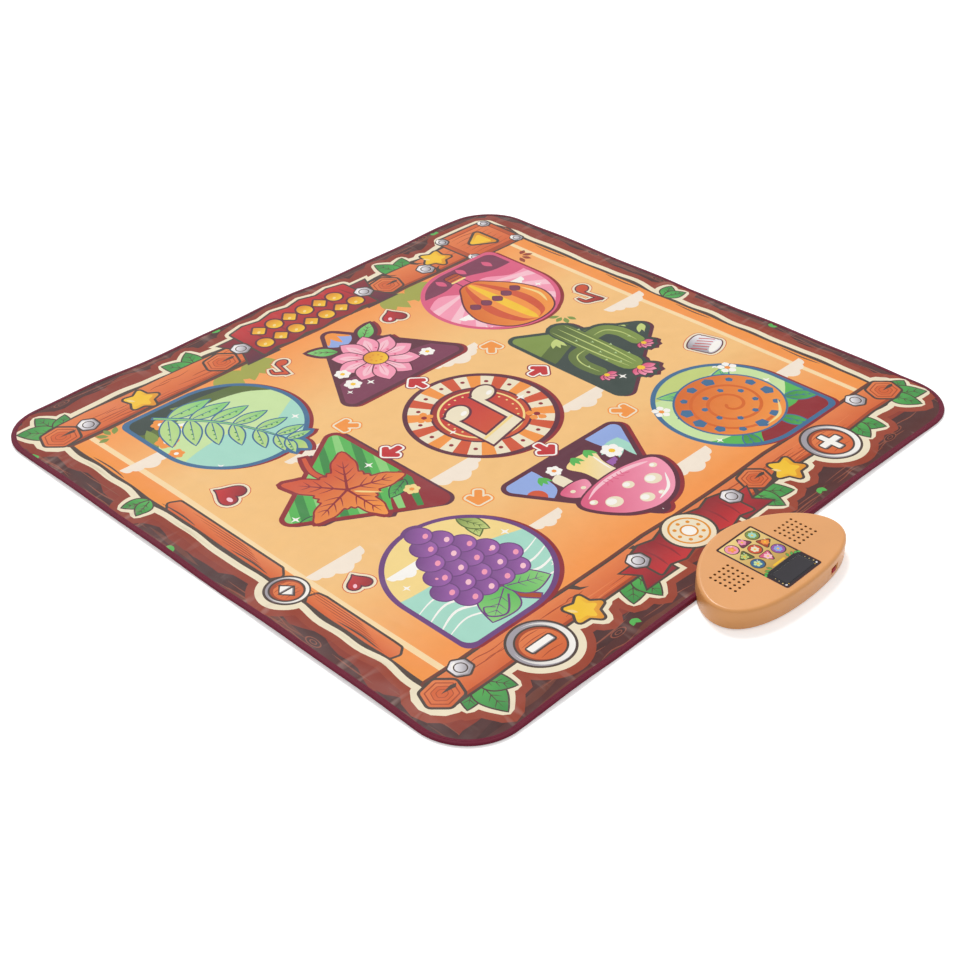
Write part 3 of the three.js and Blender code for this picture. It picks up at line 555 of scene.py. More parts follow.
def balloon(d):
    d.ink = "maroon"
    side = [(42, 84), (63, 46), (54, 6), (28, -30), (13, -44)]
    skin = blob((0, 96), *side, *[(-x, y) for x, y in side[::-1]])
    for x in (-9, 9):
        d.fill(stroke([(x, -42), (x * 0.9, -54), (x * 0.9, -66)], 2), "maroon")
    d.bold(skin, "orange", ("orange_dark", (-30, 60), (60, 0)), line=2.6)
    for x, tone in ((0.62, "brick"), (0.36, "orange"), (0.14, "gold")):
        half = np.array([(0, 94), (42, 82), (62, 46), (53, 6), (28, -30), (13, -43)]) * (x, 1)
        d.fill(np.vstack([curve(half), curve(half * (-1, 1))[::-1]]), tone)
    d.fill(stroke([(-44, 70), (-54, 44), (-48, 12)], 5, 1), "sand")
    for x in (-40, -20, 0, 20, 40):
        d.inked(leaf(x, 22 - abs(x) * 0.1, 17, 15, PI, 0.9), "maroon_light", line=1.2)
    d.bold(bar(0, -74, 25, 19, 0, 5), "wood_dark", ("wood", (0, -82), (0, -66)))
    for y in (-70, -77):
        d.fill(bar(0, y, 22, 1.6), "maroon")
    d.fill(bar(0, -64.5, 28, 4, 0, 2), "sand")


def behind_lobed(d):
    d.fill(blob((-100, 20), (-40, 60), (-20, 120), (-120, 120)), "red_dark")
    for i in range(-4, 6):
        line = [(i * 28 - 70, -120), (i * 28 - 10, -20), (i * 28 + 60, 110)]
        d.fill(stroke(line, 13, 0.5), "leaf_light" if i % 2 else "leaf_dark")
    for x, y, turn in ((-70, -70, -0.6), (-84, 40, -1.2), (40, 30, -1.9)):
        d.veined(x, y, 44, 20, turn, "leaf_dark", "leaf", "moss")
    d.sparkles((74, 4, 8), (-74, -20, 8))


def lobed(d):
    a = np.linspace(0, 2 * PI, 150, endpoint=False)
    lobes = 0.36 * np.cos(5 * a) + 0.1 * np.cos(10 * a) + 0.045 * np.cos(25 * a)
    r = 56 * (1 + lobes) * (1 - 0.1 * np.cos(a))
    shape = rows(r * np.sin(a) - 16, r * np.cos(a) + 4)
    d.bold(stroke([(-16, -20), (-10, -60), (-24, -96)], 8, -0.3), "brick")
    d.bold(shape, "orange", ("brick", (-16, 66), (-16, -46)), line=2.8)
    for k in range(5):
        b = 2 * PI * k / 5
        way = np.array([sin(b), cos(b)])
        middle_of = np.array((-16, 2))
        d.fill(stroke([middle_of - way * 4, middle_of + way * 32, middle_of + way * 68], 4, -1), "red_dark")
        for side in (-1, 1):
            across = np.array([sin(b + side * 0.75), cos(b + side * 0.75)])
            for reach, size in ((18, 22), (34, 20), (50, 13)):
                foot = middle_of + way * reach
                vein = [foot, foot + across * size / 2, foot + across * size + way * 2]
                d.fill(stroke(vein, 2.1, -1, 4), "red_dark")
    d.fill(stroke([(-46, 40), (-28, 20), (-20, 10)], 4, 1), "sand")
    d.flower(-76, 62, 12, "sand", "orange")


def behind_notes(d):
    for i in range(16):
        d.ray(0, 0, 2 * PI * i / 16 + 0.1, 0.1, 130, "brick" if i % 2 else "orange")
    d.beads(0, 0, 80, 16, 3, "red_dark", 0.3, 10)
    d.inked(ring(0, 0, 62, count=64), "brick", ("red_dark", (0, 60), (0, -60)), line=3)
    d.fill(ring(0, 0, 56, count=64), "sand")
    d.fill(ring(0, 0, 53, count=64), "brick", ("red", (0, 50), (0, -50)))
    d.beads(0, 0, 47, 24, 1.6, "sand")


def notes(d):
    beam = [(-23, 52), (43, 66), (43, 47), (-23, 33)]
    heads = [ring(-34, -28, 19, 13.5, 0.35), ring(24, -16, 19, 13.5, 0.35)]
    parts = [np.asarray(shape) + (-4, -6) for shape in (*heads, bar(-19, 8, 8, 78), bar(39, 21, 8, 84), beam)]
    for shape in parts:
        d.bold(shape, "cream", line=3.4)
    for shape in parts:
        d.fill(shape, "cream")
    for x, y in ((-38, -34), (20, -22)):
        d.fill(ring(x - 6, y + 5, 6, 3.4, 0.35, 16), "white")
    d.fill([(-26, 32), (38, 45), (38, 41), (-26, 28)], "sand")
    d.flower(-50, 50, 15, "orange", "red_dark", 5)
    d.flower(56, -46, 13, "orange", "red_dark", 5)
    d.sparkles((-64, 8, 8), (54, 4, 6))


def behind_cactus(d):
    d.fill(blob((-120, -30), (-40, -16), (30, -36), (110, -20), (110, -120), (-120, -120)), "olive_dark")
    d.fill(blob((-120, -54), (-50, -50), (40, -62), (110, -48), (110, -120), (-120, -120)), "olive")
    for x, y in ((-62, -40), (-36, 44), (44, -66), (-82, -4)):
        for turn in (-0.9, -0.45, 0, 0.45, 0.9):
            d.fill(leaf(x, y, 26, 8, turn), "lime")
    d.sparkles((54, 78, 8), (-14, 62, 6), (-70, 20, 6), (62, 56, 5))


def cactus(d):
    trunk = bar(16, -8, 42, 172, 0, 21)
    left = stroke([(0, -34), (-30, -32), (-44, -10), (-43, 22)], 27, 0.04)
    right = stroke([(30, -14), (56, -10), (68, 12), (67, 44)], 25, 0.04)
    caps = [ring(-43, 22, 13, count=26), ring(67, 44, 12, count=24)]
    for shape in (left, right, *caps, trunk):
        d.bold(shape, "olive", line=2.6)
    for shape in (left, right, *caps):
        d.fill(shape, "olive", ("olive_dark", (-60, 20), (80, -40)))
    d.fill(trunk, "olive", ("olive_dark", (10, 60), (46, -70)))
    for x in (2, 16, 30):
        d.fill(stroke([(x, -84), (x, 0), (16 + (x - 16) * 0.6, 66)], 2.6, 0.9), "lime")
    for path in ([(-6, -32), (-31, -30), (-44, -8), (-43, 24)], [(34, -12), (57, -8), (68, 14), (67, 46)]):
        d.fill(stroke(path, 2.4, 0.9), "lime")
    spines = ((-5, 40), (-5, 4), (-5, -60), (9, 26), (9, -20), (23, 48), (23, 8), (23, -40), (34, 30))
    for x, y in (*spines, (-43, 8), (67, 24)):
        d.fill(star(x, y, 3.6, 0.9, 3), "pale_green")
    for x, y, r in ((16, 82, 17), (-43, 38, 12), (67, 60, 12)):
        for i in range(5):
            petal = leaf(x, y - 4, r * 1.5, r * 0.8, (i - 2) * 0.55, 1.2)
            d.bold(petal, "rose", ("pink", (x, y), (x, y + r)), line=1.4, ink="maroon")
        d.fill(ring(x, y - 1, r * 0.36, count=12), "gold")


def behind_grapes(d):
    d.fill(blob((-120, 6), (-50, 20), (20, 2), (120, 20), (120, 120), (-120, 120)), "mint")
    d.fill(blob((-120, -10), (-40, -22), (30, -8), (120, -24), (120, -120), (-120, -120)), "sand")
    for y, shift in ((62, 0), (46, 14), (30, 8), (14, 0)):
        wavy = [(-96, y), (-56, y + 10), (-16, y - 4), (24, y + 9), (62, y - 3), (98, y + 6 + shift * 0.3)]
        d.fill(stroke(wavy, 3.4 + 0.12 * shift, 0.8), "white")
    d.fill(cloud(50, -50, 54) * (1, -1) + (0, -100), "white")
    for x, y, turn in ((-70, -70, -0.5), (-56, -76, 0.3)):
        d.veined(x, y, 42, 20, turn, "olive", "lime", "olive_dark")
    d.sparkles((-76, -18, 7), (72, -24, 6), (-72, 62, 6), (60, -76, 6))


def grapes(d):
    d.bold(stroke([(-8, 40), (-4, 66), (-20, 90)], 8, 0.1), "wood_dark")
    d.veined(-4, 50, 62, 46, -1.0, bold=True)
    d.veined(-4, 50, 54, 40, 1.15, bold=True)
    d.fill(stroke([(2, 62), (26, 84), (44, 74), (38, 60), (28, 68)], 2.6, -0.5), "purple_dark")
    for y, count in ((34, 4), (11, 5), (-13, 4), (-37, 3), (-61, 2), (-83, 1)):
        for k in range(count):
            x = (k - (count - 1) / 2) * 25 - 2
            shade = ("purple_dark", (x - 8, y + 8), (x + 13, y - 14))
            d.bold(ring(x, y, 15.2, count=30), "purple", shade, line=1.8)
            d.fill(ring(x - 5, y + 6, 5, 3.2, 0.7, 14), "pink" if (k + count) % 2 else "pink_light")
    for x, y in ((-40, -14), (38, -20)):
        d.fill(ring(x, y + 8, 2, count=8), "pink")


def behind_mushroom(d):
    d.fill(blob((-120, -26), (-80, -34), (-56, -60), (-60, -120), (-140, -120)), "sky")
    d.fill(blob((120, -20), (84, -30), (58, -52), (64, -120), (140, -120)), "sky")
    for turn in (-1.3, -0.8, -0.3):
        d.fill(leaf(-86, -66, 50, 15, turn), "mint")
    d.fill(ring(92, -50, 14, count=28), "brick")
    for y in (20, -8, -36):
        d.fill(cloud(-26, y, 46) * (1, -1) + (0, 2 * y), "purple")
    d.sparkles((-20, 62, 7), (14, 74, 6), (-52, -8, 7), (54, -4, 6), (0, 88, 5))


def mushroom(d):
    d.bold(blob((36, -30), (50, -28), (54, -56), (46, -64), (36, -62)), "cream")
    cap = blob((20, -32), (26, -14), (44, -4), (62, -14), (68, -32), (44, -38))
    d.bold(cap, "rose", ("pink", (56, -34), (34, -8)))
    for x, y in ((36, -20), (52, -24)):
        d.fill(ring(x, y, 4, 3.4, count=12), "cream")
    stem = blob((-24, 0), (6, 0), (10, -40), (18, -66), (-10, -74), (-36, -66), (-28, -40))
    d.bold(stem, "cream", ("sand", (-24, 0), (14, -40)))
    d.fill(stroke([(-22, -20), (-25, -44), (-28, -62)], 3, 1), "white")
    crown = ((-84, 2), (-76, 38), (-44, 68), (-4, 76), (36, 60), (62, 28), (66, 2))
    cap = blob(*crown, (30, -12), (-10, -16), (-50, -12))
    d.bold(cap, "pink", ("rose", (-44, 64), (40, -10)), line=2.8)
    rim = blob((-70, 2), (-36, -4), (-8, -7), (26, -4), (52, 3), (26, -9), (-10, -13), (-46, -9))
    d.fill(rim, "pink_light")
    spots = ((-44, 32, 13), (-6, 54, 11), (32, 30, 13), (-10, 18, 9), (-68, 12, 6), (52, 12, 6), (-28, 60, 5))
    for x, y, r in spots:
        d.fill(ring(x, y, r, r * 0.86, count=22), "cream")
        d.fill(ring(x + r * 0.2, y - r * 0.2, r * 0.6, r * 0.5, count=14), "white")
    for x in (-26, -18, -9, 0, 8):
        d.fill(stroke([(x, -10), (x * 0.9 - 1, -4), (x * 1.3, 0)], 1.6, 0, 3), "rose")
    d.fill(stroke([(-66, 34), (-44, 58), (-14, 68)], 4.4, 1), "white")
    d.flower(-56, -50, 17, "white")
    d.flower(34, -74, 12, "white", "orange")
    for x in (-30, -4, 60):
        for turn in (-0.6, -0.1, 0.4):
            d.fill(leaf(x, -78, 20, 7, turn), "leaf")


def behind_shell(d):
    d.fill(blob((-120, 10), (-60, 40), (0, 22), (60, 48), (120, 26), (120, 130), (-120, 130)), "leaf")
    d.fill(blob((-120, 46), (-60, 60), (0, 56), (40, 84), (60, 130), (-120, 130)), "red_dark")
    d.fill(blob((-120, -50), (-50, -62), (10, -54), (70, -70), (120, -50), (120, -130), (-120, -130)), "lime")
    for x, y, turn in ((-64, 40, 0.9), (-20, 62, 0.3), (40, 56, -0.5)):
        d.veined(x, y, 46, 20, turn, "leaf_dark", "leaf", "blue")
    d.sparkles((-80, 0, 7), (76, 44, 6), (-60, -70, 6))


def snail_shell(d):
    for turn, size in ((-2.2, 62), (-1.5, 66), (2.0, 60)):
        d.veined(-6, -30, size + 12, size * 0.4, turn, bold=True)
    d.bold(ring(0, 2, 74, 68, count=64), "orange", ("orange_dark", (-30, 60), (40, -60)), line=3)
    a = np.linspace(0, 4.8 * PI, 72)
    radius = 4 + 58 * (a / a[-1]) ** 0.9
    d.fill(stroke(around(a - 0.7, radius, 0.92 * radius) + (0, 2), 4.6, 0, 2), "orange_dark")
    for k in range(13):
        b = 2 * PI * k / 13
        size = 1.7 - 0.35 * (k % 3)
        spot = rounded(np.array([(5, 0), (2, 5.4), (-4.4, 4), (-5, -3.4), (1.4, -5.4)]) * size, 1.5, 3)
        d.fill(turned(spot, b) + (63 * cos(b), 2 + 57 * sin(b)), "blue")
    for k in range(8):
        b = 2 * PI * k / 8 + 0.3
        spot = rounded(np.array([(4.6, 0), (1.6, 4.6), (-3.8, 3.2), (-4.2, -2.8), (1.2, -4.4)]), 1, 3)
        d.fill(turned(spot, b) + (37 * cos(b), 2 + 33 * sin(b)), "blue")
    d.fill(stroke([(-52, 38), (-26, 60), (6, 64)], 4, 1), "sand")
    d.flower(-70, -56, 14, "white", "orange", 5)
    d.flower(74, -50, 13, "white", "orange", 5)


# Each step pad's rim, whose paint also inks its motif, the shade beside it, its ground, what lies behind and
# what stands in front
PAD_LOOKS = {
    "step_pad_back_left": ("blue", "red_dark", "pale_green", behind_sprig, sprig),
    "step_pad_back_centre": ("maroon", "red_dark", "maroon", behind_blossom, blossom),
    "step_pad_back_right": ("rose", "red_dark", "pink", behind_balloon, balloon),
    "step_pad_middle_left": ("red_dark", "maroon", "leaf", behind_lobed, lobed),
    "step_pad_middle_centre": ("maroon", "red_dark", "cream", behind_notes, notes),
    "step_pad_middle_right": ("moss", "maroon", "moss", behind_cactus, cactus),
    "step_pad_front_left": ("purple_dark", "red_dark", "mint", behind_grapes, grapes),
    "step_pad_front_centre": ("maroon", "red_dark", "maroon", behind_mushroom, mushroom),
    "step_pad_front_right": ("blue", "red_dark", "pale_green", behind_shell, snail_shell),
}
POINTED = ("step_pad_back_centre", "step_pad_middle_left", "step_pad_middle_right", "step_pad_front_centre")
POINTED_CORNER = 24.0


def outward(name):
    """The turn that brings +Y to the side that a pointed pad points to."""
    x, y = middle(name)[:2]
    return atan2(-round(x / 200), round(y / 200))


def pad_outline(name):
    """The edge of the patch of cover that a pad presses down, read from its CAD node."""
    low, high = span(name)
    x, y = (low[:2] + high[:2]) / 2
    half_x, half_y = (high[:2] - low[:2]) / 2
    if name == "start_pad":
        return bar(x, y, 2 * half_x, 2 * half_y, 0, 12)
    if abs(half_x - half_y) < 1:
        return ring(x, y, half_x, count=72 if half_x > 50 else 32)
    base, tall = (half_x, half_y) if abs(y) > abs(x) else (half_y, half_x)
    corners = np.array([(base, -tall), (0, tall), (-base, -tall)])
    corners += np.array([(-1, 1), (0, -1), (1, 1)]) * POINTED_CORNER
    return rounded_hull(turned(corners, outward(name)) + (x, y), POINTED_CORNER)


def rounded_hull(centres, radius, steps=9):
    """The outline of equal discs about centres, and all between them."""
    made = []
    for i, centre in enumerate(centres):
        before, after = centre - centres[i - 1], centres[(i + 1) % len(centres)] - centre
        start = atan2(-before[0], before[1])
        made += arc(centre, radius, start, (atan2(-after[0], after[1]) - start) % (2 * PI), steps)
    return np.array(made)


def printed_edge(name, inset=0.0):
    """The outline of a step pad's frame: a disc, a drop that points to the mat's corner, or a triangle."""
    x, y = middle(name)[:2]
    if name in POINTED:
        shape = rounded(turned(POINTED_PRINT, outward(name)) + (x, y), 16, 10)
        return grown(shape, -inset) if inset else shape
    radius, tip = PAD_PRINT_RADIUS - inset, 14
    if name == "step_pad_middle_centre":
        return ring(x, y, radius, count=110)
    corner = around(np.linspace(0, PI / 2, 8), tip) + (radius - tip)
    side = np.sign([x, y])
    shape = np.vstack([around(np.linspace(PI / 2, 2 * PI, 90), radius), corner]) * side
    return (shape if side[0] * side[1] > 0 else shape[::-1]) + (x, y)


def run_along(path):
    """How far along a path each of its points lies."""
    return np.concatenate([[0], np.cumsum(np.linalg.norm(np.diff(path, axis=0), axis=1))])


def even(path, count, closed=True):
    """Points at even distances along a line."""
    p = np.vstack([path, path[:1]]) if closed else np.asarray(path, float)
    run = run_along(p)
    at = np.linspace(0, run[-1], count, endpoint=not closed)
    return rows(np.interp(at, run, p[:, 0]), np.interp(at, run, p[:, 1]))


def plaque(half, front, back, radius, ripple, steps=330):
    """A rounded rectangle whose line swings in and out."""
    path = even(rounded(corners_of((-half, front), (half, back)), radius, 14), steps)
    k = np.arange(steps) * 2 * PI / steps
    swing = np.sin(33 * k) * np.sin(7 * k + 1) + 0.7 * np.sin(19 * k + 1) + 0.5 * np.sin(47 * k)
    side = sideways(np.vstack([path[-1:], path, path[:1]]))[1:-1]
    return path - side * (ripple * swing)[:, None]


# Places and sizes in the print, in millimetres
PAD_PRINT_RADIUS = 100
POINTED_PRINT = np.array([(119, -92), (0, 98), (-119, -92)])
FRAME_LINE = (404, -358, 372, 44)
BAND_FRONT = (-355, -317)
BAND_BACK = (320, 366)
BANNER = (10, 356, 206, 74)
RIBBON = (-13, -348, 168, 46)
CREAM_WIDTH = 8.5
RUST_WIDTH = 10
RIM_WIDTH = 6.5
ARROWS_RED = ((-3, 113, 0), (-136, 20, PI / 2), (128, 20, -PI / 2), (-3, -113, PI))
ARROWS_PALE = ((-135, 104, PI / 4), (130, 108, -PI / 4), (-132, -125, PI * 3 / 4), (130, -125, -PI * 3 / 4))
STARS = ((-276, 342, 0.2), (262, 352, -0.15), (-200, -352, 0.12), (166, -352, -0.2))
LEAF_SPRAYS = (
    (-392, 352, ((0.1, 50), (0.85, 54), (-0.7, 40))),
    (-360, -344, ((2.2, 46), (2.95, 58), (-2.6, 44))),
    (392, -344, ((-1.5, 46), (-2.2, 54), (-2.9, 46))),
    (-178, 352, ((-0.3, 48), (0.65, 50))),
    (196, 352, ((-0.7, 48), (0.25, 50))),
    (-118, -348, ((2.3, 52), (3.0, 48))),
    (96, -348, ((-2.3, 52), (-3.0, 46))),
    (306, -344, ((-2.7, 46), (2.8, 44))),
    (-402, 150, ((1.2, 34), (2.0, 32))),
    (402, 30, ((-1.2, 34), (-2.0, 34))),
)
WOOD_ROUNDS = (
    (-398, -336, 24), (-146, 343, 25), (154, 343, 25),
    (122, -336, 22), (398, -336, 24), (-398, 343, 26),
)
BOLTS = ((-358, 342), (-106, 352), (118, 352), (-96, -338), (74, -338), (-358, -322), (352, -324), (228, 338))
LEAF_SCRAPS = (
    (-352, 296, 0.4, "olive"), (352, 268, -2.4, "rust"),
    (262, 96, 2.2, "olive"), (-152, 60, 1.3, "olive"),
)
CLOUDS = (
    (-116, -60, 96), (112, -64, 86), (92, -252, 92), (78, 132, 92), (350, 64, 82),
    (-332, -96, 84), (352, -212, 76), (-356, 226, 76), (-112, -208, 60), (-214, 96, 60),
)


def sign_board(x, y, wide=104, tall=84):
    """A board whose corners are sawn off unevenly."""
    shape = [(-1, -0.8), (-0.8, -1), (0.85, -1), (1, -0.75), (1, 0.8), (0.8, 1), (-0.85, 1), (-1, 0.75)]
    return rounded(np.array(shape) * (wide / 2, tall / 2) + (x, y), 5, 4)


def cloth_tails(x, y, width, height):
    """The two cut ends of a ribbon, which hang from behind its middle."""
    tails = []
    low, high = y - height / 2 - 6, y + height / 2 - 14
    for side in (-1, 1):
        inner, outer = x + side * (width / 2 - 20), x + side * (width / 2 + 30)
        notch = (outer - side * 15, (low + high) / 2)
        tails.append(np.array([(inner, low), (outer, low), notch, (outer, high), (inner, high)])[::side])
    return tails


def ragged(x, y, width, height, teeth=9):
    """A cloth's outline with a torn upper and lower edge."""
    t = np.linspace(-0.5, 0.5, teeth)
    saw = np.where(np.arange(teeth) % 2, 4.0, -2.0)
    edges = [rows(x + t * width, y - height / 2 + saw), rows(x + t[::-1] * width, y + height / 2 + saw)]
    return rounded(np.vstack(edges), 2, 3)


def paint_bark(d, rng):
    """Planks, grain, knots and moss on the outer border."""
    half_x, half_y = COVER_HIGH[:2]
    nears = (FRAME_LINE[2], FRAME_LINE[0], -FRAME_LINE[1], FRAME_LINE[0])
    for side, near in enumerate(nears):
        d.at = (0, 0, side * PI / 2)
        reach, far = (half_x, half_y) if side % 2 == 0 else (half_y, half_x)

        def place(first, last, low, high):
            """A point drawn at random: its way along the side, and its share of the border's depth."""
            return rng.uniform(first - reach, reach - last), near + rng.uniform(low, high) * (far - near)

        t = np.linspace(-reach - 20, reach + 20, 60)
        inner = near + 26 + 5 * np.sin(t / 23 + side) + 4 * np.sin(t / 11 + 2 * side) + 5 * np.sin(t / 61)
        pool = np.vstack([rows(t, inner), [(reach + 20, far + 30), (-reach - 20, far + 30)]])
        d.fill(pool, "bark_dark", ("bark", (0, near + 24), (0, far)))
        for _ in range(12):
            x, y = place(0, 60, 0.6, 1)
            size, wide = rng.uniform(60, 140), rng.uniform(5, 12)
            tone = "bark_dark" if rng.random() < 0.4 else "bark_light"
            turn = -PI / 2 + rng.uniform(-0.05, 0.05)
            d.fill(leaf(x, y, size, wide, turn, rng.uniform(0.7, 1.3), 10), tone)
        for _ in range(20):
            x, y = place(0, 60, 0.4, 1)
            run = rng.uniform(40, 120)
            line = [(x + run * share, y + rng.uniform(-2.6, 2.6)) for share in (0, 0.33, 0.66, 1)]
            d.fill(stroke(line, rng.uniform(1.1, 1.9), 1, 3), "grain")
        for _ in range(3):
            x, y = place(60, 60, 0.6, 0.85)
            for size, tone in ((8, "grain"), (6.6, "bark_dark"), (3.8, "grain"), (2.6, "bark_dark")):
                d.fill(ring(x, y, size * 1.5, size * 0.62, count=18), tone)
        for _ in range(2):
            x, y = place(80, 80, 0.55, 0.8)
            for turn in (-0.7, 0.4):
                d.fill(leaf(x, y, 11, 7, turn, 1, 6), "leaf")
    d.at = (0, 0, 0)


def paint_band(d, rng, low, high, half):
    """A wooden board across the mat, its grain and its cracks."""
    mid = (low + high) / 2
    t = np.linspace(-1, 1, 15)
    wander = rng.uniform(-1.6, 1.6, (2, 15))
    lower, upper = rows(half * t, low + wander[0]), rows(half * t[::-1], high + wander[1])
    board = rounded(np.vstack([lower, [(half + 6, mid)], upper, [(-half - 6, mid)]]), 4, 3)
    d.fill(grown(board, 3.4) + (0, -3.5 * np.sign(mid)), "bark_light")
    d.inked(board, "wood_dark", line=3.4)
    d.fill(grown(board, -1.5) + (0, 2.5), "wood", ("wood_light", (0, low), (0, high)))
    d.fill(stroke([(-half + 8, high - 4), (0, high - 3.4), (half - 8, high - 4)], 3, 0.4), "wood_light")
    for _ in range(34):
        x, y = rng.uniform(-half + 10, half - 100), rng.uniform(low + 6, high - 6)
        run = rng.uniform(30, 100)
        line = [(x + run * share, y + rng.uniform(-1.8, 1.8)) for share in (0, 0.3, 0.6, 1)]
        d.fill(stroke(line, rng.uniform(1, 1.9), 1, 4), "wood_dark" if rng.random() < 0.75 else "wood_light")
    for _ in range(7):
        x, edge = rng.uniform(-half + 30, half - 30), rng.choice([low, high])
        way = np.sign(mid - edge)
        crack = [(-4, -way), (5, -way), (7, way * 6), (15, way * 12), (3, way * 9)]
        d.fill([(x + across, edge + along) for across, along in crack], "ink")


def wood_round(d, x, y, radius):
    """The sawn end of a post, with its year rings and a crack."""
    post = rounded(around(np.arange(6) * PI / 3 + 0.2, radius, radius * 0.9) + (x, y), 5, 4)
    light = ("wood_light", (x, y - radius), (x, y + radius))
    d.inked(post, "wood", light, line=3.4)
    d.fill(grown(post, -3.5), "wood_dark")
    d.fill(grown(post, -5), "wood", light)
    for size in (0.52, 0.28):
        d.inked(rounded((post[::3] - (x, y)) * size + (x, y), 3, 3), "wood", None, 0.9, "wood_dark")
    d.fill([(x - 2, y), (x + radius * 0.7, y - 3), (x + radius - 3, y + 1), (x + radius * 0.6, y + 3)], "ink")


def bolt(d, x, y, radius=13.5):
    """A six-sided metal nut on a plate."""
    plate = rounded(around(np.arange(6) * PI / 3 + 0.5, radius) + (x, y), 3, 4)
    d.inked(plate, "metal_dark", line=2.6)
    d.fill(grown(plate, -1) + (-0.8, 1.4), "metal", ("metal_dark", (x - 10, y + 8), (x + 10, y - 12)))
    d.fill([(x - 9, y + 4), (x - 4, y + 10), (x + 2, y + 11), (x - 5, y + 2)], "white")
    shade = ("metal_dark", (x - 5, y + 5), (x + 5, y - 5))
    d.inked(ring(x, y, radius * 0.48, count=24), "metal", shade, line=1.5)


def gold_star(d, x, y, turn, size=27):
    shape = rounded(star(x, y, size, size * 0.54, 5, turn), 3.4, 5)
    d.inked(shape, "gold_dark", ("gold", (x + 10, y - 16), (x - 8, y + 8)), line=3.4)
    d.fill(rounded(star(x - 1.5, y + 1.5, size * 0.74, size * 0.4, 5, turn), 2.4, 4), "gold")
    d.fill(leaf(x - 9, y + 2, 13, 4.5, 0.5), "sand")


def ring_button(d, name, radius, sign):
    """A metal ring with a wooden disc and a sign in it."""
    x, y = middle(name)[:2]
    thick = radius / 39
    shine = ("metal_dark", (x + 0.4 * radius, y - radius), (x - 2 * radius, y + 2 * radius))
    disc = radius * 0.69
    for at_x, at_y, size, tone, fade, count in (
        (x, y, radius, "ink", None, 64),
        (x, y, radius - 3, "metal_dark", None, 64),
        (x + 1.6 * thick, y - 1.2 * thick, radius - 5 * thick, "white", shine, 64),
        (x - thick, y + 2.4 * thick, radius - 8.5 * thick, "metal_dark", None, 56),
        (x, y, disc + 2.4, "ink", None, 56),
        (x, y, disc, "wood_dark", None, 56),
        (x + 0.6, y - 1.6, disc - 2, "wood", ("wood_light", (x, y - disc), (x, y + disc)), 56),
    ):
        d.fill(ring(at_x, at_y, size, count=count), tone, fade)
    for k in (-0.6, -0.3, 0.05, 0.35, 0.65):
        reach = disc * sqrt(1 - k * k) * 0.8
        line = [(x - reach, y + k * disc), (x, y + k * disc + 1.6), (x + reach, y + k * disc)]
        d.fill(stroke(line, 1.3, 1), "wood_dark")
    for shape in sign:
        d.fill(grown(shape + (x, y), 2.4), "ink")
    for shape in sign:
        d.fill(shape + (x, y), "metal_dark")
    for shape in sign:
        d.fill(grown(shape, -0.5) + (x - 0.4, y + 0.9), "white")


def block_arrow(size):
    half = np.array([(0, 0.52), (-0.5, 0.06), (-0.36, -0.12), (-0.13, 0.06), (-0.13, -0.5), (0, -0.5)]) * size
    return np.vstack([half, half[::-1][1:-1] * (-1, 1)])


def paint_arrow(d, x, y, turn, size, tones):
    arrow = rounded(turned(block_arrow(size), turn), 2.2, 4) + (x, y)
    for reach, tone in zip((5.4, 3.6, 1), tones):
        d.fill(grown(arrow, reach), tone)


def quaver(x, y, size, turn):
    """The outlines of a music note."""
    parts = [
        ring(-0.3, -0.64, 0.42, 0.31, 0.3, 26),
        bar(0.05, 0.12, 0.17, 1.5),
        stroke([(0.02, 0.76), (0.34, 0.56), (0.78, 0.3), (0.74, -0.2)], 0.3, -0.7),
    ]
    return [turned(np.array(p) * size, turn) + (x, y) for p in parts]


def heart(x, y, size, turn):
    a = np.linspace(0, 2 * PI, 36, endpoint=False)
    points = rows(16 * np.sin(a) ** 3, 13 * np.cos(a) - 5 * np.cos(2 * a) - 2 * np.cos(3 * a) - np.cos(4 * a))
    return turned(points * size / 16, turn) + (x, y)


def sticker(d, shapes, colour, fade=None):
    for reach, tone in ((6.4, "wood"), (5.2, "cream"), (2, "maroon")):
        for shape in shapes:
            d.fill(grown(shape, reach), tone)
    for shape in shapes:
        d.fill(shape, colour, fade)


def paint_stickers(d):
    """Small loose pictures between the pads."""
    for x, y, size, turn in ((-330, 92, 20, 0.35), (-336, -142, 14, -0.25), (98, 268, 17, -0.3)):
        turn += PI
        sticker(d, [heart(x, y, size, turn)], "red", ("red_dark", (x - 8, y + 10), (x + 12, y - 14)))
        shine = ring(size * 0.45, size * 0.3, size * 0.16, size * 0.26, -0.5, 14)
        d.fill(turned(shine, turn) + (x, y), "pink_light")
    sticker(d, quaver(334, 112, 27, PI + 0.15), "brick", ("red_dark", (330, 130), (340, 84)))
    sticker(d, quaver(-100, 272, 20, PI - 0.2), "brick")
    x, y, turn = 334, -96, 0.3
    drum = (bar(0, 0, 40, 28, 0, 5), ring(0, 14, 20, 7.5), ring(0, -14, 20, 7.5))
    drum = [turned(shape, turn) + (x, y) for shape in drum]
    sticker(d, drum, "metal_dark", ("metal", (x - 16, y), (x + 10, y)))
    d.fill(turned(ring(0, -14, 17, 5.6, count=28), turn) + (x, y), "white")
    for k in (-15, -7.5, 0, 7.5, 15):
        d.fill(turned(stroke([(k - 4, 13), (k, 2), (k + 3, -8)], 2), turn) + (x, y), "red")
    for x, y, turn, tone in LEAF_SCRAPS:
        for k in range(4):
            way = turn + (k - 1.5) * 0.75
            d.fill(leaf(*(np.array((x, y)) + 6 * heading(way)), 17 - 2 * (k % 2), 8, way), tone)


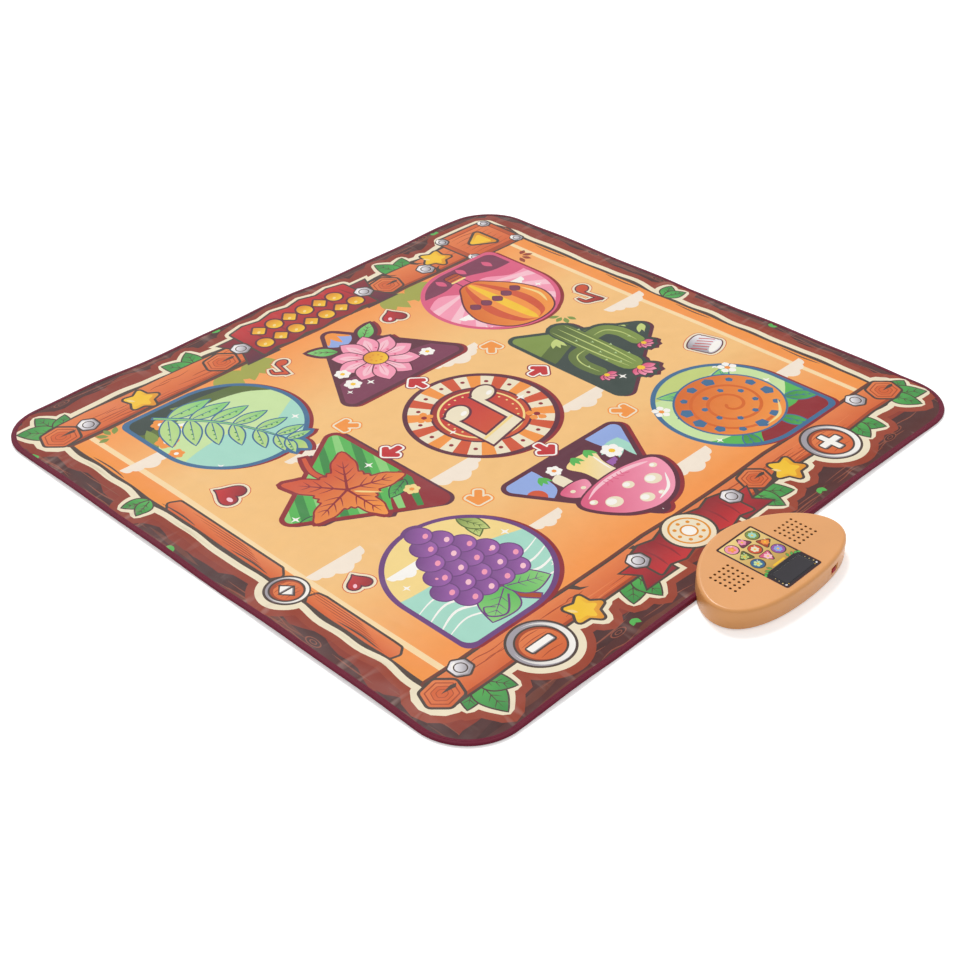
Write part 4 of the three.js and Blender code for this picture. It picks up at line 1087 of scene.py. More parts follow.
def paint_field(d, settings):
    """The printed field: its glow, side stripes, planks and clouds."""
    edge, glow = tuple(settings.field_edge), tuple(settings.field)
    d.fill(plaque(*FRAME_LINE, 1.7), "ink")
    d.clip = grown(plaque(*FRAME_LINE, 0.5), -5.4)
    d.fill(d.clip, glow)
    d.fill(bar(0, 245, 900, 210), glow, (edge, (0, 150), (0, 320)))
    d.fill(bar(0, -245, 900, 250), glow, (edge, (0, -130), (0, -300)))
    for side in (-1, 1):
        d.fill(bar(side * 392, 0, 34, 760), "orange", (edge, (side * 400, 0), (side * 374, 0)))
        stripe = [(side * across, y) for across, y in ((372, -330), (373.5, -60), (371, 130), (373, 330))]
        d.fill(stroke(stripe, 8), "stripe")
    for x, y, width in CLOUDS:
        d.fill(cloud(x, y, width), "cloud")
    for x in (-168, -122, 128, 176):
        for turn in (-0.5, 0.1, 0.7):
            d.fill(leaf(x, 322, 54, 24, PI + turn * 0.9), "shadow_leaf")
    for low, high in ((-262, -122), (-74, 130)):
        plank = rounded(even(bar(-389, (low + high) / 2, 22, high - low, 0, 9), 26), 3, 3)
        d.inked(plank, "wood", ("wood_light", (-399, 0), (-379, 0)), line=3)
        shine = [(-381, low + 12), (-380.4, (low + high) / 2), (-381, high - 12)]
        d.fill(stroke(shine, 2.4, 0.6), "wood_light")
        for k in range(6):
            x, y = -396 + 2.8 * k, low + 14 + 9 * k
            d.fill(stroke([(x, y), (x + 1.4, y + 30), (x, y + 70 + 8 * k)], 1.4, 1), "wood_dark")
    for side in (-1, 1):
        for y in (-240, -60, 70, 210):
            d.fill(stroke([(side * 396, y), (side * 394, y + 30), (side * 396, y + 66)], 2.4, 1), "ink")
    d.clip = None


def paint_mat():
    """The whole print of the mat's cover."""
    settings = bpy.context.scene.dance_mat
    rng = np.random.default_rng(11)
    d = Drawing()
    d.fill(bar(0, 0, 950, 900), "rust_dark")
    paint_bark(d, rng)
    proud = [plaque(*FRAME_LINE, 1.7), sign_board(*middle("start_pad")[:2])]
    proud += [ragged(*BANNER), *cloth_tails(*BANNER), *cloth_tails(*RIBBON)]
    proud += [ring(*middle(name)[:2], 39, count=48) for name in ("volume_down_pad", "volume_up_pad")]
    proud += [ring(*middle("mode_pad")[:2], 26.5, count=40)]
    proud += [ring(x, y, radius, count=14) for x, y, radius in WOOD_ROUNDS]
    proud += [rounded(star(x, y, 28, 15, 5, PI + turn), 3, 4) for x, y, turn in STARS]
    leaves = [(x, y, size, turn) for x, y, turns in LEAF_SPRAYS for turn, size in turns]
    proud += [rounded(leaf(x, y, size - 3, size * 0.6, turn, 0.85, 12), 6, 3) for x, y, size, turn in leaves]
    for shape in proud:
        d.fill(grown(shape, CREAM_WIDTH + RUST_WIDTH), "rust", ("rust_dark", (0, -380), (0, 400)))
    for shape in proud:
        d.fill(grown(shape, CREAM_WIDTH), "cream")
    paint_field(d, settings)
    for x, y, size, turn in leaves:
        d.veined(x, y, size, size * 0.58, turn, "leaf", "leaf_dark", "ink")
    paint_band(d, rng, *BAND_FRONT, 402)
    paint_band(d, rng, *BAND_BACK, 402)
    for place in WOOD_ROUNDS:
        wood_round(d, *place)
    paint_banner(d)
    paint_ribbon(d)
    paint_start(d)
    for place in BOLTS:
        bolt(d, *place)
    for x, y, turn in STARS:
        gold_star(d, x, y, PI + turn)
    bars = (bar(0, 0, 34, 9.5, 0, 1.6), bar(0, 0, 9.5, 34, 0, 1.6))
    ring_button(d, "volume_down_pad", 39, [bars[0]])
    ring_button(d, "volume_up_pad", 39, bars)
    small = np.array([(8.4, 1.4), (0, 10.6), (-8.4, 1.4)])
    ring_button(d, "mode_pad", 26.5, [small, (small * (1, -1))[::-1]])
    paint_stickers(d)
    for name, look in PAD_LOOKS.items():
        paint_pad(d, name, *look)
    for x, y, turn in ARROWS_PALE:
        paint_arrow(d, x, y, turn, 29, ("orange", "cream", "orange"))
    for x, y, turn in ARROWS_RED:
        paint_arrow(d, x, y, turn, 29, ("red_dark", "white", "red"))
    return d


def paint_pad(d, name, rim, shade, ground, behind, front):
    """A pad's frame and picture. What stands in front runs out over the frame, with a rim of its own."""
    place, scale = (*middle(name)[:2], PI), 0.9 if name in POINTED else 1.0
    trial = Drawing()
    trial.at, trial.scale = place, scale
    front(trial)
    outlines = [printed_edge(name), *(grown(shape, 5.8) for shape in trial.bolds)]
    for shape in outlines:
        d.fill(shape + (3.5, -4), shade)
    for shape in outlines:
        d.fill(shape, rim)
    d.clip = printed_edge(name, RIM_WIDTH)
    d.fill(d.clip, ground)
    d.at, d.scale, d.ink = place, scale, rim
    behind(d)
    d.clip = None
    front(d)
    d.at, d.scale, d.ink = (0, 0, 0), 1.0, "ink"


def paint_cloth(d, place, way, tail, crease, width):
    """A cloth with two tails and some creases. Its fades run forwards or back."""
    x, y, _, height = place
    for shape in cloth_tails(*place):
        d.inked(shape, "red_dark", (tail[0], (x, y + way * tail[1]), (x, y - way * tail[1])), line=3)
    shade = ("red_dark", (x, y + way * height / 2), (x, y - way * height / 2))
    d.inked(ragged(*place), "red", shade, line=3.2)
    for k, high, bend, low in crease:
        d.fill(stroke([(x + k, y + high), (x + k + bend, y), (x + k, y + low)], width, 1), "red_dark")


def paint_banner(d):
    """A red cloth with a row of gold beads and lozenges."""
    x, y = BANNER[:2]
    paint_cloth(d, BANNER, 1, ("maroon", 40), [(k, 30, 4, -31) for k in (-80, -44, 52, 88)], 3.4)
    for at_y, count, odd in ((y + 16, 6, 1), (y - 15, 7, 0)):
        for k in range(count):
            at = x + (k - (count - 1) / 2) * 27.5
            gem = ring(at, at_y, 11.5, count=28)
            if (k + odd) % 2:
                gem = rounded(bar(at, at_y, 17, 17, PI / 4), 2, 4)
            d.inked(gem, "gold", ("gold_dark", (at, at_y - 8), (at, at_y + 10)), 3, "maroon")
            d.fill(ring(at - 2.4, at_y - 3, 3.4, 2.2, 0.6, 12), "sand")


def paint_ribbon(d):
    """A red ribbon under the sound box, with a pale medallion."""
    x, y = RIBBON[:2]
    paint_cloth(d, RIBBON, -1, ("red", 30), [(k, 20, 3, -20) for k in (-66, -44, 44, 66)], 3)
    d.inked(ring(x, y + 4, 31, count=40), "cream", line=3.2)
    for radius, tone in ((25, "gold_dark"), (22.4, "cream"), (11, "gold_dark"), (8.6, "white")):
        d.fill(ring(x, y + 4, radius, count=34), tone)
    d.beads(x, y + 4, 16.6, 8, 2.6, "gold_dark", sides=10)


def paint_start(d):
    """A wooden sign with a gold triangle for the start button."""
    x, y = middle("start_pad")[:2]
    d.inked(sign_board(x, y), "wood_dark", ("wood", (x, y - 40), (x, y + 40)), line=3.4)
    light = ("wood_light", (x, y - 30), (x, y + 34))
    d.inked(sign_board(x, y, 86, 66), "wood", light, line=2, ink="wood_dark")
    for k in range(6):
        at = y - 26 + 10.4 * k
        grain = [(x - 36, at), (x - 10, at + 2), (x + 14, at - 1), (x + 37, at + 1)]
        d.fill(stroke(grain, 1.5, 1), "wood_dark")
    play = rounded(np.array([(-22, 0), (17, -25), (17, 25)]) + (x, y), 4, 5)
    d.inked(play, "gold_dark", ("gold", (x + 10, y), (x - 12, y)), line=4.4)
    d.fill(rounded(np.array([(-15, 0), (11.5, -17), (11.5, 17)]) + (x + 0.5, y), 3, 4), "gold")
    for across in (-45, 45):
        for along in (-35, 35):
            bolt(d, x + across, y + along, 9.5)


# The sheets


# How the sound box holds the mat flat: how much wider than deep, how far from its middle, and over what fade
GRIP_WIDER, GRIP_REACH, GRIP_FADE = 1.25, 90, 110
# How far in from the mat's edge the binding presses its layers thinner
PINCH_REACH = 26
SHEET_STEPS = 330
BOSS_HOLE_RADIUS = 3.8
FILM_GAP = 0.1
HOLE_PLAY = 0.5
CLEARANCE = 0.3
# Lines inside each pad's outline, along which the cover's triangles are divided
SLOPE_LINES = (2, 8, 14, 20)


def gripped(points):
    """Nothing where the sound box holds the mat, and one well away from it."""
    away = np.hypot((points[:, 0] - BOX_MIDDLE[0]) / GRIP_WIDER, points[:, 1] - BOX_MIDDLE[1])
    return eased((away - GRIP_REACH) / GRIP_FADE)


def lift(points):
    """How far the mat lies above its flat place: waves along the loose edges, low swells inside."""
    settings = bpy.context.scene.dance_mat
    x, y = points[:, 0], points[:, 1]
    from_edge = np.minimum(MAT_HIGH[0] - abs(x), MAT_HIGH[1] - abs(y))
    near_edge = eased(1 - from_edge / (settings.wave_reach / MM))
    crest = np.sin(x / 25 + 0.6) * 0.5 + np.sin(x / 47 - y / 61 + 2.1) * 0.7 + np.sin(y / 29 - 0.8) * 0.5
    crest += 0.5 * np.sin(y / 53 + x / 71)
    swell = 1 + np.sin(x / 39 + 0.7) * np.sin(y / 35 + 0.2)
    waves = settings.edge_wave / MM * near_edge * np.clip(crest / 2.2 + 0.25, 0, 1)
    return (waves + settings.inner_wave / MM * swell * (1 - near_edge)) * gripped(points)


def laid(points, height):
    """The heights of the mat's layers as they lie: lifted by the waves, and pressed thin in the binding."""
    over = np.maximum(abs(points) - (MAT_HIGH[:2] - MAT_CORNER), 0)
    from_edge = MAT_CORNER - np.hypot(*over.T)
    thin = bpy.context.scene.dance_mat.edge_pinch * eased(1 - from_edge / PINCH_REACH) * gripped(points)
    return BASE_BOTTOM + (height - BASE_BOTTOM) * (1 - thin) + lift(points)


def flat_height(points, height):
    return height + np.zeros(len(points))


def sheet_edge():
    """The outline of the mat's layers, inside the binding."""
    half = COVER_HIGH[:2]
    return even(rounded(corners_of(-half, half), MAT_CORNER - LAYER_INSET, 20), SHEET_STEPS)


def doubled_areas(points, faces):
    """Twice each triangle's area, above nothing where it faces up."""
    a, b, c = (points[faces[:, i]] for i in range(3))
    return np.cross(b - a, c - a)


def flat_area(points, faces):
    """The area of some triangles, in square metres."""
    return float(abs(doubled_areas(points, faces)).sum() / 2 * MM * MM)


def boss_holes():
    """The holes that two bosses of the sound box pass through."""
    return [ring(*middle(f"housing_screw_rear_{i}")[:2], BOSS_HOLE_RADIUS, count=20) for i in (1, 2)]


def grid_in(low, high, cell):
    """Staggered points a cell apart, just inside a rectangle."""
    count = np.maximum(((high - low) / cell).astype(int), 1)
    x, y = (np.linspace(low[i] + cell / 3, high[i] - cell / 3, count[i]) for i in (0, 1))
    grid = np.stack(np.meshgrid(x, y), -1)
    grid[::2, :, 0] += cell / 4
    return grid.reshape(-1, 2)


def divided(edge, holes, lines, cell):
    """A sheet divided along the lines of all outlines: its points, triangles and the triangles' middles."""
    outlines = [edge, *holes, *lines]
    edges = []
    start = 0
    for outline in outlines:
        order = start + np.arange(len(outline))
        edges += list(zip(order.tolist(), np.roll(order, -1).tolist()))
        start += len(outline)
    points = np.vstack([*outlines, grid_in(edge.min(0), edge.max(0), cell)])
    made, _, faces, *_ = delaunay_2d_cdt([Vector(p) for p in points], edges, [], 0, 1e-4)
    points, faces = np.array(made), np.array(faces)
    middles = points[faces].mean(1)
    kept = inside(middles, edge)
    for hole in holes:
        kept &= ~inside(middles, hole)
    return points, faces[kept], middles[kept]


def shown(name, data):
    """A new object in the scene."""
    obj = bpy.data.objects.new(name, data)
    bpy.context.scene.collection.objects.link(obj)
    return obj


def solid(name, points, faces, degrees):
    """A smooth mesh object, sharp at edges past an angle, from points in metres."""
    mesh = bpy.data.meshes.new(name)
    mesh.from_pydata(points.tolist(), [], faces)
    mesh.polygons.foreach_set("use_smooth", np.ones(len(mesh.polygons), bool))
    mesh.set_sharp_from_angle(angle=radians(degrees))
    return shown(name, mesh)


def sheet_mesh(name, points, faces, bottom, top, look=None, heights=laid, under_cell=0.0):
    """A thin closed mesh between two heights over the given triangles, printed with a look. With an under
    cell, its underside has larger triangles of its own."""
    used, flat = np.unique(faces, return_inverse=True)
    top_faces, corners = flat.reshape(-1, 3), points[used]
    turned_over = doubled_areas(corners, top_faces) < 0
    top_faces[turned_over] = top_faces[turned_over][:, ::-1]
    count = len(corners)
    pairs = np.concatenate([top_faces[:, [0, 1]], top_faces[:, [1, 2]], top_faces[:, [2, 0]]])
    code = pairs[:, 0] * count + pairs[:, 1]
    rim = pairs[~np.isin(code, pairs[:, 1] * count + pairs[:, 0])]
    under, under_faces, below = corners, top_faces[:, ::-1], np.arange(count)
    if under_cell:
        under, under_faces, below = underside(corners, rim, under_cell)
    a, b = rim.T
    walls = rows(a, count + below[a], count + below[b]), rows(a, count + below[b], b)
    triangles = np.concatenate([top_faces, under_faces + count, *walls])
    place = np.vstack([rows(corners, heights(corners, top)), rows(under, heights(under, bottom))])
    obj = solid(name, place * MM, triangles.tolist(), 50)
    if look is not None:
        values = np.ones((len(triangles) * 3, 4), np.float32)
        values[:, :3] = linear("backing")
        values[: len(top_faces) * 3, :3] = corner_colours(look, corners[top_faces])
        layer = obj.data.color_attributes.new("print", "FLOAT_COLOR", "CORNER")
        layer.data.foreach_set("color", values.ravel())
    obj.data.validate()
    return obj


def underside(corners, rim, cell):
    """Larger triangles within a sheet's rim, their points, and the point under each of the sheet's own."""
    ring_points = np.unique(rim)
    flat = np.vstack([corners[ring_points], grid_in(corners.min(0), corners.max(0), cell)])
    edges = np.searchsorted(ring_points, rim).tolist()
    made, _, faces, sources, *_ = delaunay_2d_cdt([Vector(p) for p in flat], edges, [], 0, 1e-5)
    made, faces = np.array(made), np.array(faces)
    faces = faces[within(made[faces].mean(1), corners[rim[:, 0]], corners[rim[:, 1]])]
    upward = doubled_areas(made, faces) > 0
    faces[upward] = faces[upward][:, ::-1]
    below = np.full(len(corners), -1)
    for i, origin in enumerate(sources):
        for source in origin:
            if source < len(ring_points):
                below[ring_points[source]] = i
    if (below[ring_points] < 0).any():
        raise RuntimeError("the underside lost a point of the sheet's rim")
    return made, faces, below


def coloured(drawing, middles):
    """The first colour, second colour and fade of each face, from the topmost shape over its middle."""
    first, second, start, end = (np.zeros((len(middles), size)) for size in (3, 3, 2, 2))
    clips = {}
    for outline, colour, fade, clip in drawing.shapes:
        found = inside(middles, outline)
        if clip is not None:
            if id(clip) not in clips:
                clips[id(clip)] = inside(middles, clip)
            found &= clips[id(clip)]
        first[found] = colour
        second[found], start[found], end[found] = fade or (colour, (0, 0), (1, 0))
    return first, second, start, end


def corner_colours(look, corners):
    """The colour of each corner of each face, as far along its fade as it lies."""
    first, second, start, end = (values[:, None] for values in look)
    along = end - start
    share = np.clip(((corners - start) * along).sum(2) / ((along**2).sum(2) + 1e-9), 0, 1)[..., None]
    return (first * (1 - share) + second * share).reshape(-1, 3)


# Materials


class Nodes:
    """A node tree, each of whose nodes is made and linked in one call."""

    def __init__(self, tree):
        self.tree = tree

    def link(self, source, socket):
        self.tree.links.new(source, socket)

    def node(self, kind, inputs=(), **values):
        made = self.tree.nodes.new("ShaderNode" + kind)
        for key, value in values.items():
            setattr(made, key, value)
        for key, value in dict(inputs).items():
            if isinstance(value, bpy.types.NodeSocket):
                self.link(value, made.inputs[key])
            else:
                made.inputs[key].default_value = value
        return made

    def math(self, operation, a, b=0.0, c=0.0):
        return self.node("Math", {0: a, 1: b, 2: c}, operation=operation).outputs[0]

    def times(self, a, b):
        return self.math("MULTIPLY", a, b)

    def spread(self, value, low, high, from_low=0.0, from_high=1.0):
        inputs = {"Value": value, "From Min": from_low, "From Max": from_high, "To Min": low, "To Max": high}
        return self.node("MapRange", inputs).outputs[0]

    def seen_directly(self):
        """One for rays from the camera and for those that gloss or glass sends on, and else nothing."""
        path = self.node("LightPath")
        total = path.outputs["Is Camera Ray"]
        for name in ("Is Glossy Ray", "Is Transmission Ray"):
            inputs = {0: total, 1: path.outputs[name]}
            total = self.node("Math", inputs, operation="ADD", use_clamp=True).outputs[0]
        return total


class Finish(Nodes):
    """A material and its nodes."""

    def __init__(self, name, roughness, **sockets):
        self.material = bpy.data.materials.new(name)
        self.material.use_nodes = True
        super().__init__(self.material.node_tree)
        self.shader = self.tree.nodes["Principled BSDF"]
        self.shader.inputs["Roughness"].default_value = roughness
        for socket, value in sockets.items():
            self.shader.inputs[socket.replace("_", " ")].default_value = value
        self.bumps = None

    def place(self, scale=(1, 1, 1), turn=(0, 0, 0), uv=False):
        """Object coordinates, or the piece's own UV map, scaled and turned."""
        source = self.node("TexCoord").outputs["UV" if uv else "Object"]
        return self.node("Mapping", {"Vector": source, "Scale": scale, "Rotation": turn}).outputs[0]

    def noise(self, scale, detail=2.0, place=None):
        inputs = {"Vector": place or self.place(), "Scale": scale, "Detail": detail}
        return self.node("TexNoise", inputs).outputs["Fac"]

    def ribs(self, period, axis="X", uv=False):
        """Parallel ribs a period apart, in metres."""
        scale = 2 * PI / (20 * period)
        inputs = {"Vector": self.place(uv=uv), "Scale": scale, "Distortion": 0.4, "Detail": 1.0}
        return self.node("TexWave", inputs, bands_direction=axis).outputs["Fac"]

    def mix(self, share, first, second, blend="MIX"):
        inputs = {0: share}
        for index, value in ((6, first), (7, second)):
            inputs[index] = value if isinstance(value, bpy.types.NodeSocket) else (*value[:3], 1)
        return self.node("Mix", inputs, data_type="RGBA", blend_type=blend).outputs[2]

    def bump(self, height, strength, distance):
        """Adds relief of some height in metres over what is there."""
        inputs = {"Height": height, "Strength": strength, "Distance": distance}
        if self.bumps is not None:
            inputs["Normal"] = self.bumps
        self.bumps = self.node("Bump", inputs).outputs[0]

    def creases(self, place):
        """Bumps short creases across the mat's loose edge, and gives where a painted highlight lies on them,
        as a share from nothing to a little.
        """
        shares = []
        for axis, half, stretch in ((0, MAT_HIGH[0], (0.25, 1, 1)), (1, MAT_HIGH[1], (1, 0.25, 1))):
            out = self.math("ABSOLUTE", place.outputs[axis])
            near = self.spread(out, 0, 1, (half - 46) * MM, (half - 8) * MM)
            folds = self.spread(self.noise(75, 1, self.place(stretch)), 0, 1, 0.6, 0.76)
            self.bump(self.times(folds, near), 0.5, 0.0012)
            shares.append(self.times(near, folds))
        return self.times(self.math("MAXIMUM", *shares), 0.3)

    def done(self, colour=None, roughness=None):
        for socket, value in (("Base Color", colour), ("Roughness", roughness), ("Normal", self.bumps)):
            if value is not None:
                self.link(value, self.shader.inputs[socket])
        return self.material


def tinted(colour, factor):
    return [min(1.0, c * factor) for c in colour]


def print_finish(name, gloss, wrinkles):
    """Laminated printed cloth: the painted colours, fine weave, soft wrinkles and fold lines, and a painted
    highlight on the creases along the loose edge.
    """
    f = Finish(name, 0.45, Specular_IOR_Level=0.17)
    colour = f.node("VertexColor", layer_name="print").outputs["Color"]
    for scale, detail, low, high in ((60, 3, 0.955, 1.03), (1400, 1, 0.97, 1.03)):
        tone = f.spread(f.noise(scale, detail), low, high)
        tone = f.node("CombineXYZ", {0: tone, 1: tone, 2: tone}).outputs[0]
        colour = f.mix(1.0, colour, tone, "MULTIPLY")
    f.bump(f.times(f.ribs(0.0011, "X"), f.ribs(0.0011, "Y")), 0.16, 0.0002)
    if wrinkles:
        place = f.node("SeparateXYZ", {0: f.place()})
        # Painted highlight: on the creases near the loose edge the colour is lightened towards a pale pink,
        # where light would glint.
        colour = f.mix(f.creases(place), colour, linear("#C9A79C"))
        f.bump(f.noise(7, 3, f.place((1, 1.3, 1))), 0.6, 0.012)
        f.bump(f.noise(26, 2, f.place((1, 0.55, 1), (0, 0, 0.6))), 0.35, 0.004)
        for axis, at in ((0, -0.149), (0, 0.151), (1, -0.14), (1, 0.143)):
            away = f.math("ABSOLUTE", f.math("SUBTRACT", place.outputs[axis], at))
            f.bump(f.spread(away, 1, 0, 0, 0.006), 0.25, 0.0006)
    return f.done(colour, f.spread(f.noise(34, 3), gloss - 0.08, gloss + 0.09))


def cloth_finish(name, colour, period, roughness, uv=False):
    """Woven cloth in one colour, with a painted highlight on its ribs and painted shade between them."""
    f = Finish(name, roughness, Specular_IOR_Level=0.2, Sheen_Weight=0.06, Sheen_Roughness=0.45)
    weave = f.times(f.ribs(period, "X", uv), f.ribs(period, "Y", uv))
    worn = f.noise(40, 3)
    # Painted light: the colour follows the weave's relief, with painted shade in the hollows between the ribs
    # and a painted highlight on their tops.
    shade = f.mix(f.spread(weave, 0, 1), tinted(colour, 0.72), tinted(colour, 1.22))
    shade = f.mix(f.spread(worn, 0, 0.3, 0.35, 0.75), shade, tinted(colour, 1.25))
    f.bump(weave, 0.35, period * 0.3)
    f.bump(f.noise(300, 2), 0.2, 0.0003)
    return f.done(shade, f.spread(worn, roughness - 0.08, roughness + 0.1))


def moulded_finish(name, colour, roughness, texture, coat=0.0):
    """Moulded plastic: a fine spark-eroded texture, faint flow marks and small differences in gloss."""
    f = Finish(name, roughness, Coat_Weight=coat, Coat_Roughness=0.18)
    flow = f.noise(18, 3, f.place((1, 1, 2.5)))
    shade = f.mix(f.spread(flow, 0, 1, 0.3, 0.7), tinted(colour, 0.965), tinted(colour, 1.03))
    f.bump(f.noise(2600, 1), texture, 0.0001)
    f.bump(f.noise(45, 2), 0.05, 0.0008)
    return f.done(shade, f.spread(f.noise(90, 2), roughness - 0.05, roughness + 0.06))


def metal_finish(name, colour, roughness, brushed=False):
    f = Finish(name, roughness, Metallic=1.0)
    streaks = f.noise(500, 3, f.place((1, 1, 12) if brushed else (1, 1, 1)))
    shade = f.mix(f.spread(streaks, 0, 1, 0.3, 0.7), tinted(colour, 0.85), tinted(colour, 1.08))
    f.bump(streaks, 0.08, 0.0001)
    return f.done(shade, f.spread(f.noise(120, 2), roughness - 0.08, roughness + 0.12))


def board_finish(name):
    """Green laminate with copper tracks under the mask and a grid of pads."""
    f = Finish(name, 0.35, Coat_Weight=0.3)
    inputs = {"Vector": f.place((1, 1, 1), (0, 0, 0.785)), "Scale": 160.0, "Mortar Size": 0.06}
    for socket, tone in (("Color1", "#1C6A3E"), ("Color2", "#175A34"), ("Mortar", "#3C9A5E")):
        inputs[socket] = (*linear(tone), 1)
    tracks = f.node("TexBrick", inputs)
    f.bump(tracks.outputs["Fac"], 0.2, 0.0002)
    return f.done(tracks.outputs["Color"], f.spread(f.noise(200), 0.3, 0.45))


def film_finish(name):
    """Clear circuit film with printed grey tracks."""
    f = Finish(name, 0.25, Coat_Weight=0.4)
    lines = f.ribs(0.004, "X")
    shade = f.mix(f.spread(lines, 0, 1, 0.8, 0.95), linear("#D7DDE0"), linear("#8E969C"))
    f.bump(f.noise(60), 0.1, 0.001)
    return f.done(shade, f.spread(f.noise(80), 0.2, 0.34))


def rubber_finish(name, colour, roughness=0.82):
    f = Finish(name, roughness)
    dust = f.noise(260, 3)
    shade = f.mix(f.spread(dust, 0, 1, 0.35, 0.8), tinted(colour, 0.85), tinted(colour, 1.5))
    f.bump(f.noise(1500, 2), 0.25, 0.0002)
    return f.done(shade, f.spread(dust, roughness - 0.08, roughness + 0.08))


def foam_finish(name):
    f = Finish(name, 0.95)
    cells = f.node("TexVoronoi", {"Vector": f.place(), "Scale": 900.0}).outputs["Distance"]
    # Painted shade: the foam is darker in the hollows of its cells and lighter on the cell walls, following
    # the same cells as its bump.
    shade = f.mix(f.spread(cells, 0, 1, 0, 0.6), linear("#DCDAD2"), linear("#F6F5F0"))
    f.bump(cells, 0.6, 0.0005)
    return f.done(shade)


def lens_finish(name):
    """Smoked display window: nearly black, glossy, with faint scuffs."""
    f = Finish(name, 0.1, Specular_IOR_Level=0.25)
    scuff = f.noise(700, 4, f.place((1, 0.2, 1)))
    shade = f.mix(f.spread(f.noise(50, 2), 0, 1), linear("#28252B"), linear("#333037"))
    return f.done(shade, f.spread(scuff, 0.08, 0.22, 0.4, 0.8))


def jacket_finish(name):
    """A cell's printed sleeve: a dark body with a copper-coloured band at one end."""
    f = Finish(name, 0.3, Coat_Weight=0.4)
    x = f.node("SeparateXYZ", {0: f.place()}).outputs[0]
    bands = f.math("FLOORED_MODULO", f.times(x, 40.0), 1.0)
    shade = f.mix(f.spread(bands, 0, 1, 0.68, 0.7), linear("#33506F"), linear("#C08A4A"))
    f.bump(f.noise(400), 0.06, 0.0002)
    return f.done(shade, f.spread(f.noise(150), 0.25, 0.4))


def paper_finish(name):
    """Pressed black speaker paper with a fine fibre grain."""
    f = Finish(name, 0.9)
    fibre = f.noise(900, 4)
    f.bump(fibre, 0.5, 0.0003)
    return f.done(f.mix(f.spread(fibre, 0, 1, 0.3, 0.7), linear("#1D1D20"), linear("#34343A")))


def use(obj, material):
    """Gives a piece one material."""
    obj.data.materials.clear()
    obj.data.materials.append(material)


# Modelling by hand, in edit mode


def deselect():
    if bpy.context.object and bpy.context.object.mode != "OBJECT":
        bpy.ops.object.mode_set(mode="OBJECT")
    bpy.ops.object.select_all(action="DESELECT")


def activate(obj):
    deselect()
    obj.select_set(True)
    bpy.context.view_layer.objects.active = obj


def pick(obj, kind, test):
    """Enters edit mode with the edges or faces chosen whose corners all pass a test."""
    activate(obj)
    bpy.ops.object.mode_set(mode="EDIT")
    bpy.ops.mesh.select_mode(type=kind)
    bpy.ops.mesh.select_all(action="DESELECT")
    shape = bmesh.from_edit_mesh(obj.data)
    for item in shape.edges if kind == "EDGE" else shape.faces:
        if all(test(v.co / MM) for v in item.verts):
            item.select_set(True)
    bmesh.update_edit_mesh(obj.data)


def extruded(x, y, z):
    bpy.ops.mesh.extrude_region_move(TRANSFORM_OT_translate={"value": (x, y, z)})


def leave():
    bpy.ops.object.mode_set(mode="OBJECT")


def settled(obj):
    """Moves an object's place into its mesh."""
    activate(obj)
    bpy.ops.object.transform_apply(location=True, rotation=True, scale=True)
    return obj


def added(operator, **values):
    """The shape that an operator of Blender's adds."""
    deselect()
    operator(**values)
    return settled(bpy.context.object)


def raised(name, outline, bottom, top):
    """A disc drawn out to an outline and extruded upwards, sizes in millimetres."""
    obj = added(bpy.ops.mesh.primitive_circle_add, vertices=len(outline), radius=1, fill_type="NGON")
    obj.name = obj.data.name = name
    for vertex, point in zip(obj.data.vertices, outline):
        vertex.co = (point[0] * MM, point[1] * MM, bottom * MM)
    bpy.ops.object.mode_set(mode="EDIT")
    bpy.ops.mesh.select_all(action="SELECT")
    extruded(0, 0, (top - bottom) * MM)
    faced_outwards()
    return obj


def faced_outwards():
    """Turns all faces of the shape outwards, and leaves edit mode."""
    bpy.ops.mesh.select_all(action="SELECT")
    bpy.ops.mesh.normals_make_consistent(inside=False)
    leave()


def rounded_edge(obj, level, radius, segments):
    """Bevels the ring of edges at one height."""
    pick(obj, "EDGE", lambda p: abs(p[2] - level) < 1e-3)
    bpy.ops.mesh.bevel(offset=radius * MM, segments=segments, affect="EDGES", clamp_overlap=False)
    leave()


def cut(obj, tool, operation="DIFFERENCE"):
    activate(obj)
    modifier = obj.modifiers.new("cut", "BOOLEAN")
    modifier.operation = operation
    modifier.solver = "EXACT"
    modifier.object = tool
    bpy.ops.object.modifier_apply(modifier=modifier.name)
    bpy.data.objects.remove(tool)


def smooth(obj, degrees):
    activate(obj)
    bpy.ops.object.shade_smooth_by_angle(angle=radians(degrees))


def repeated(name, model, matrices):
    """One mesh that holds a copy of a modelled shape at each place."""
    base = np.array([v.co for v in model.data.vertices])
    faces = [tuple(p.vertices) for p in model.data.polygons]
    points = np.concatenate([base @ np.array(m)[:3, :3].T + np.array(m)[:3, 3] for m in matrices])
    starts = range(0, len(points), len(base))
    bpy.data.objects.remove(model)
    return solid(name, points, [tuple(v + start for v in face) for start in starts for face in faces], 40)


# How far the sound box's outline swings out before each end: as shares of its length, and of its width
REAR_BULGE, FRONT_BULGE = (0.286, 0.516), (0.73, 0.645)


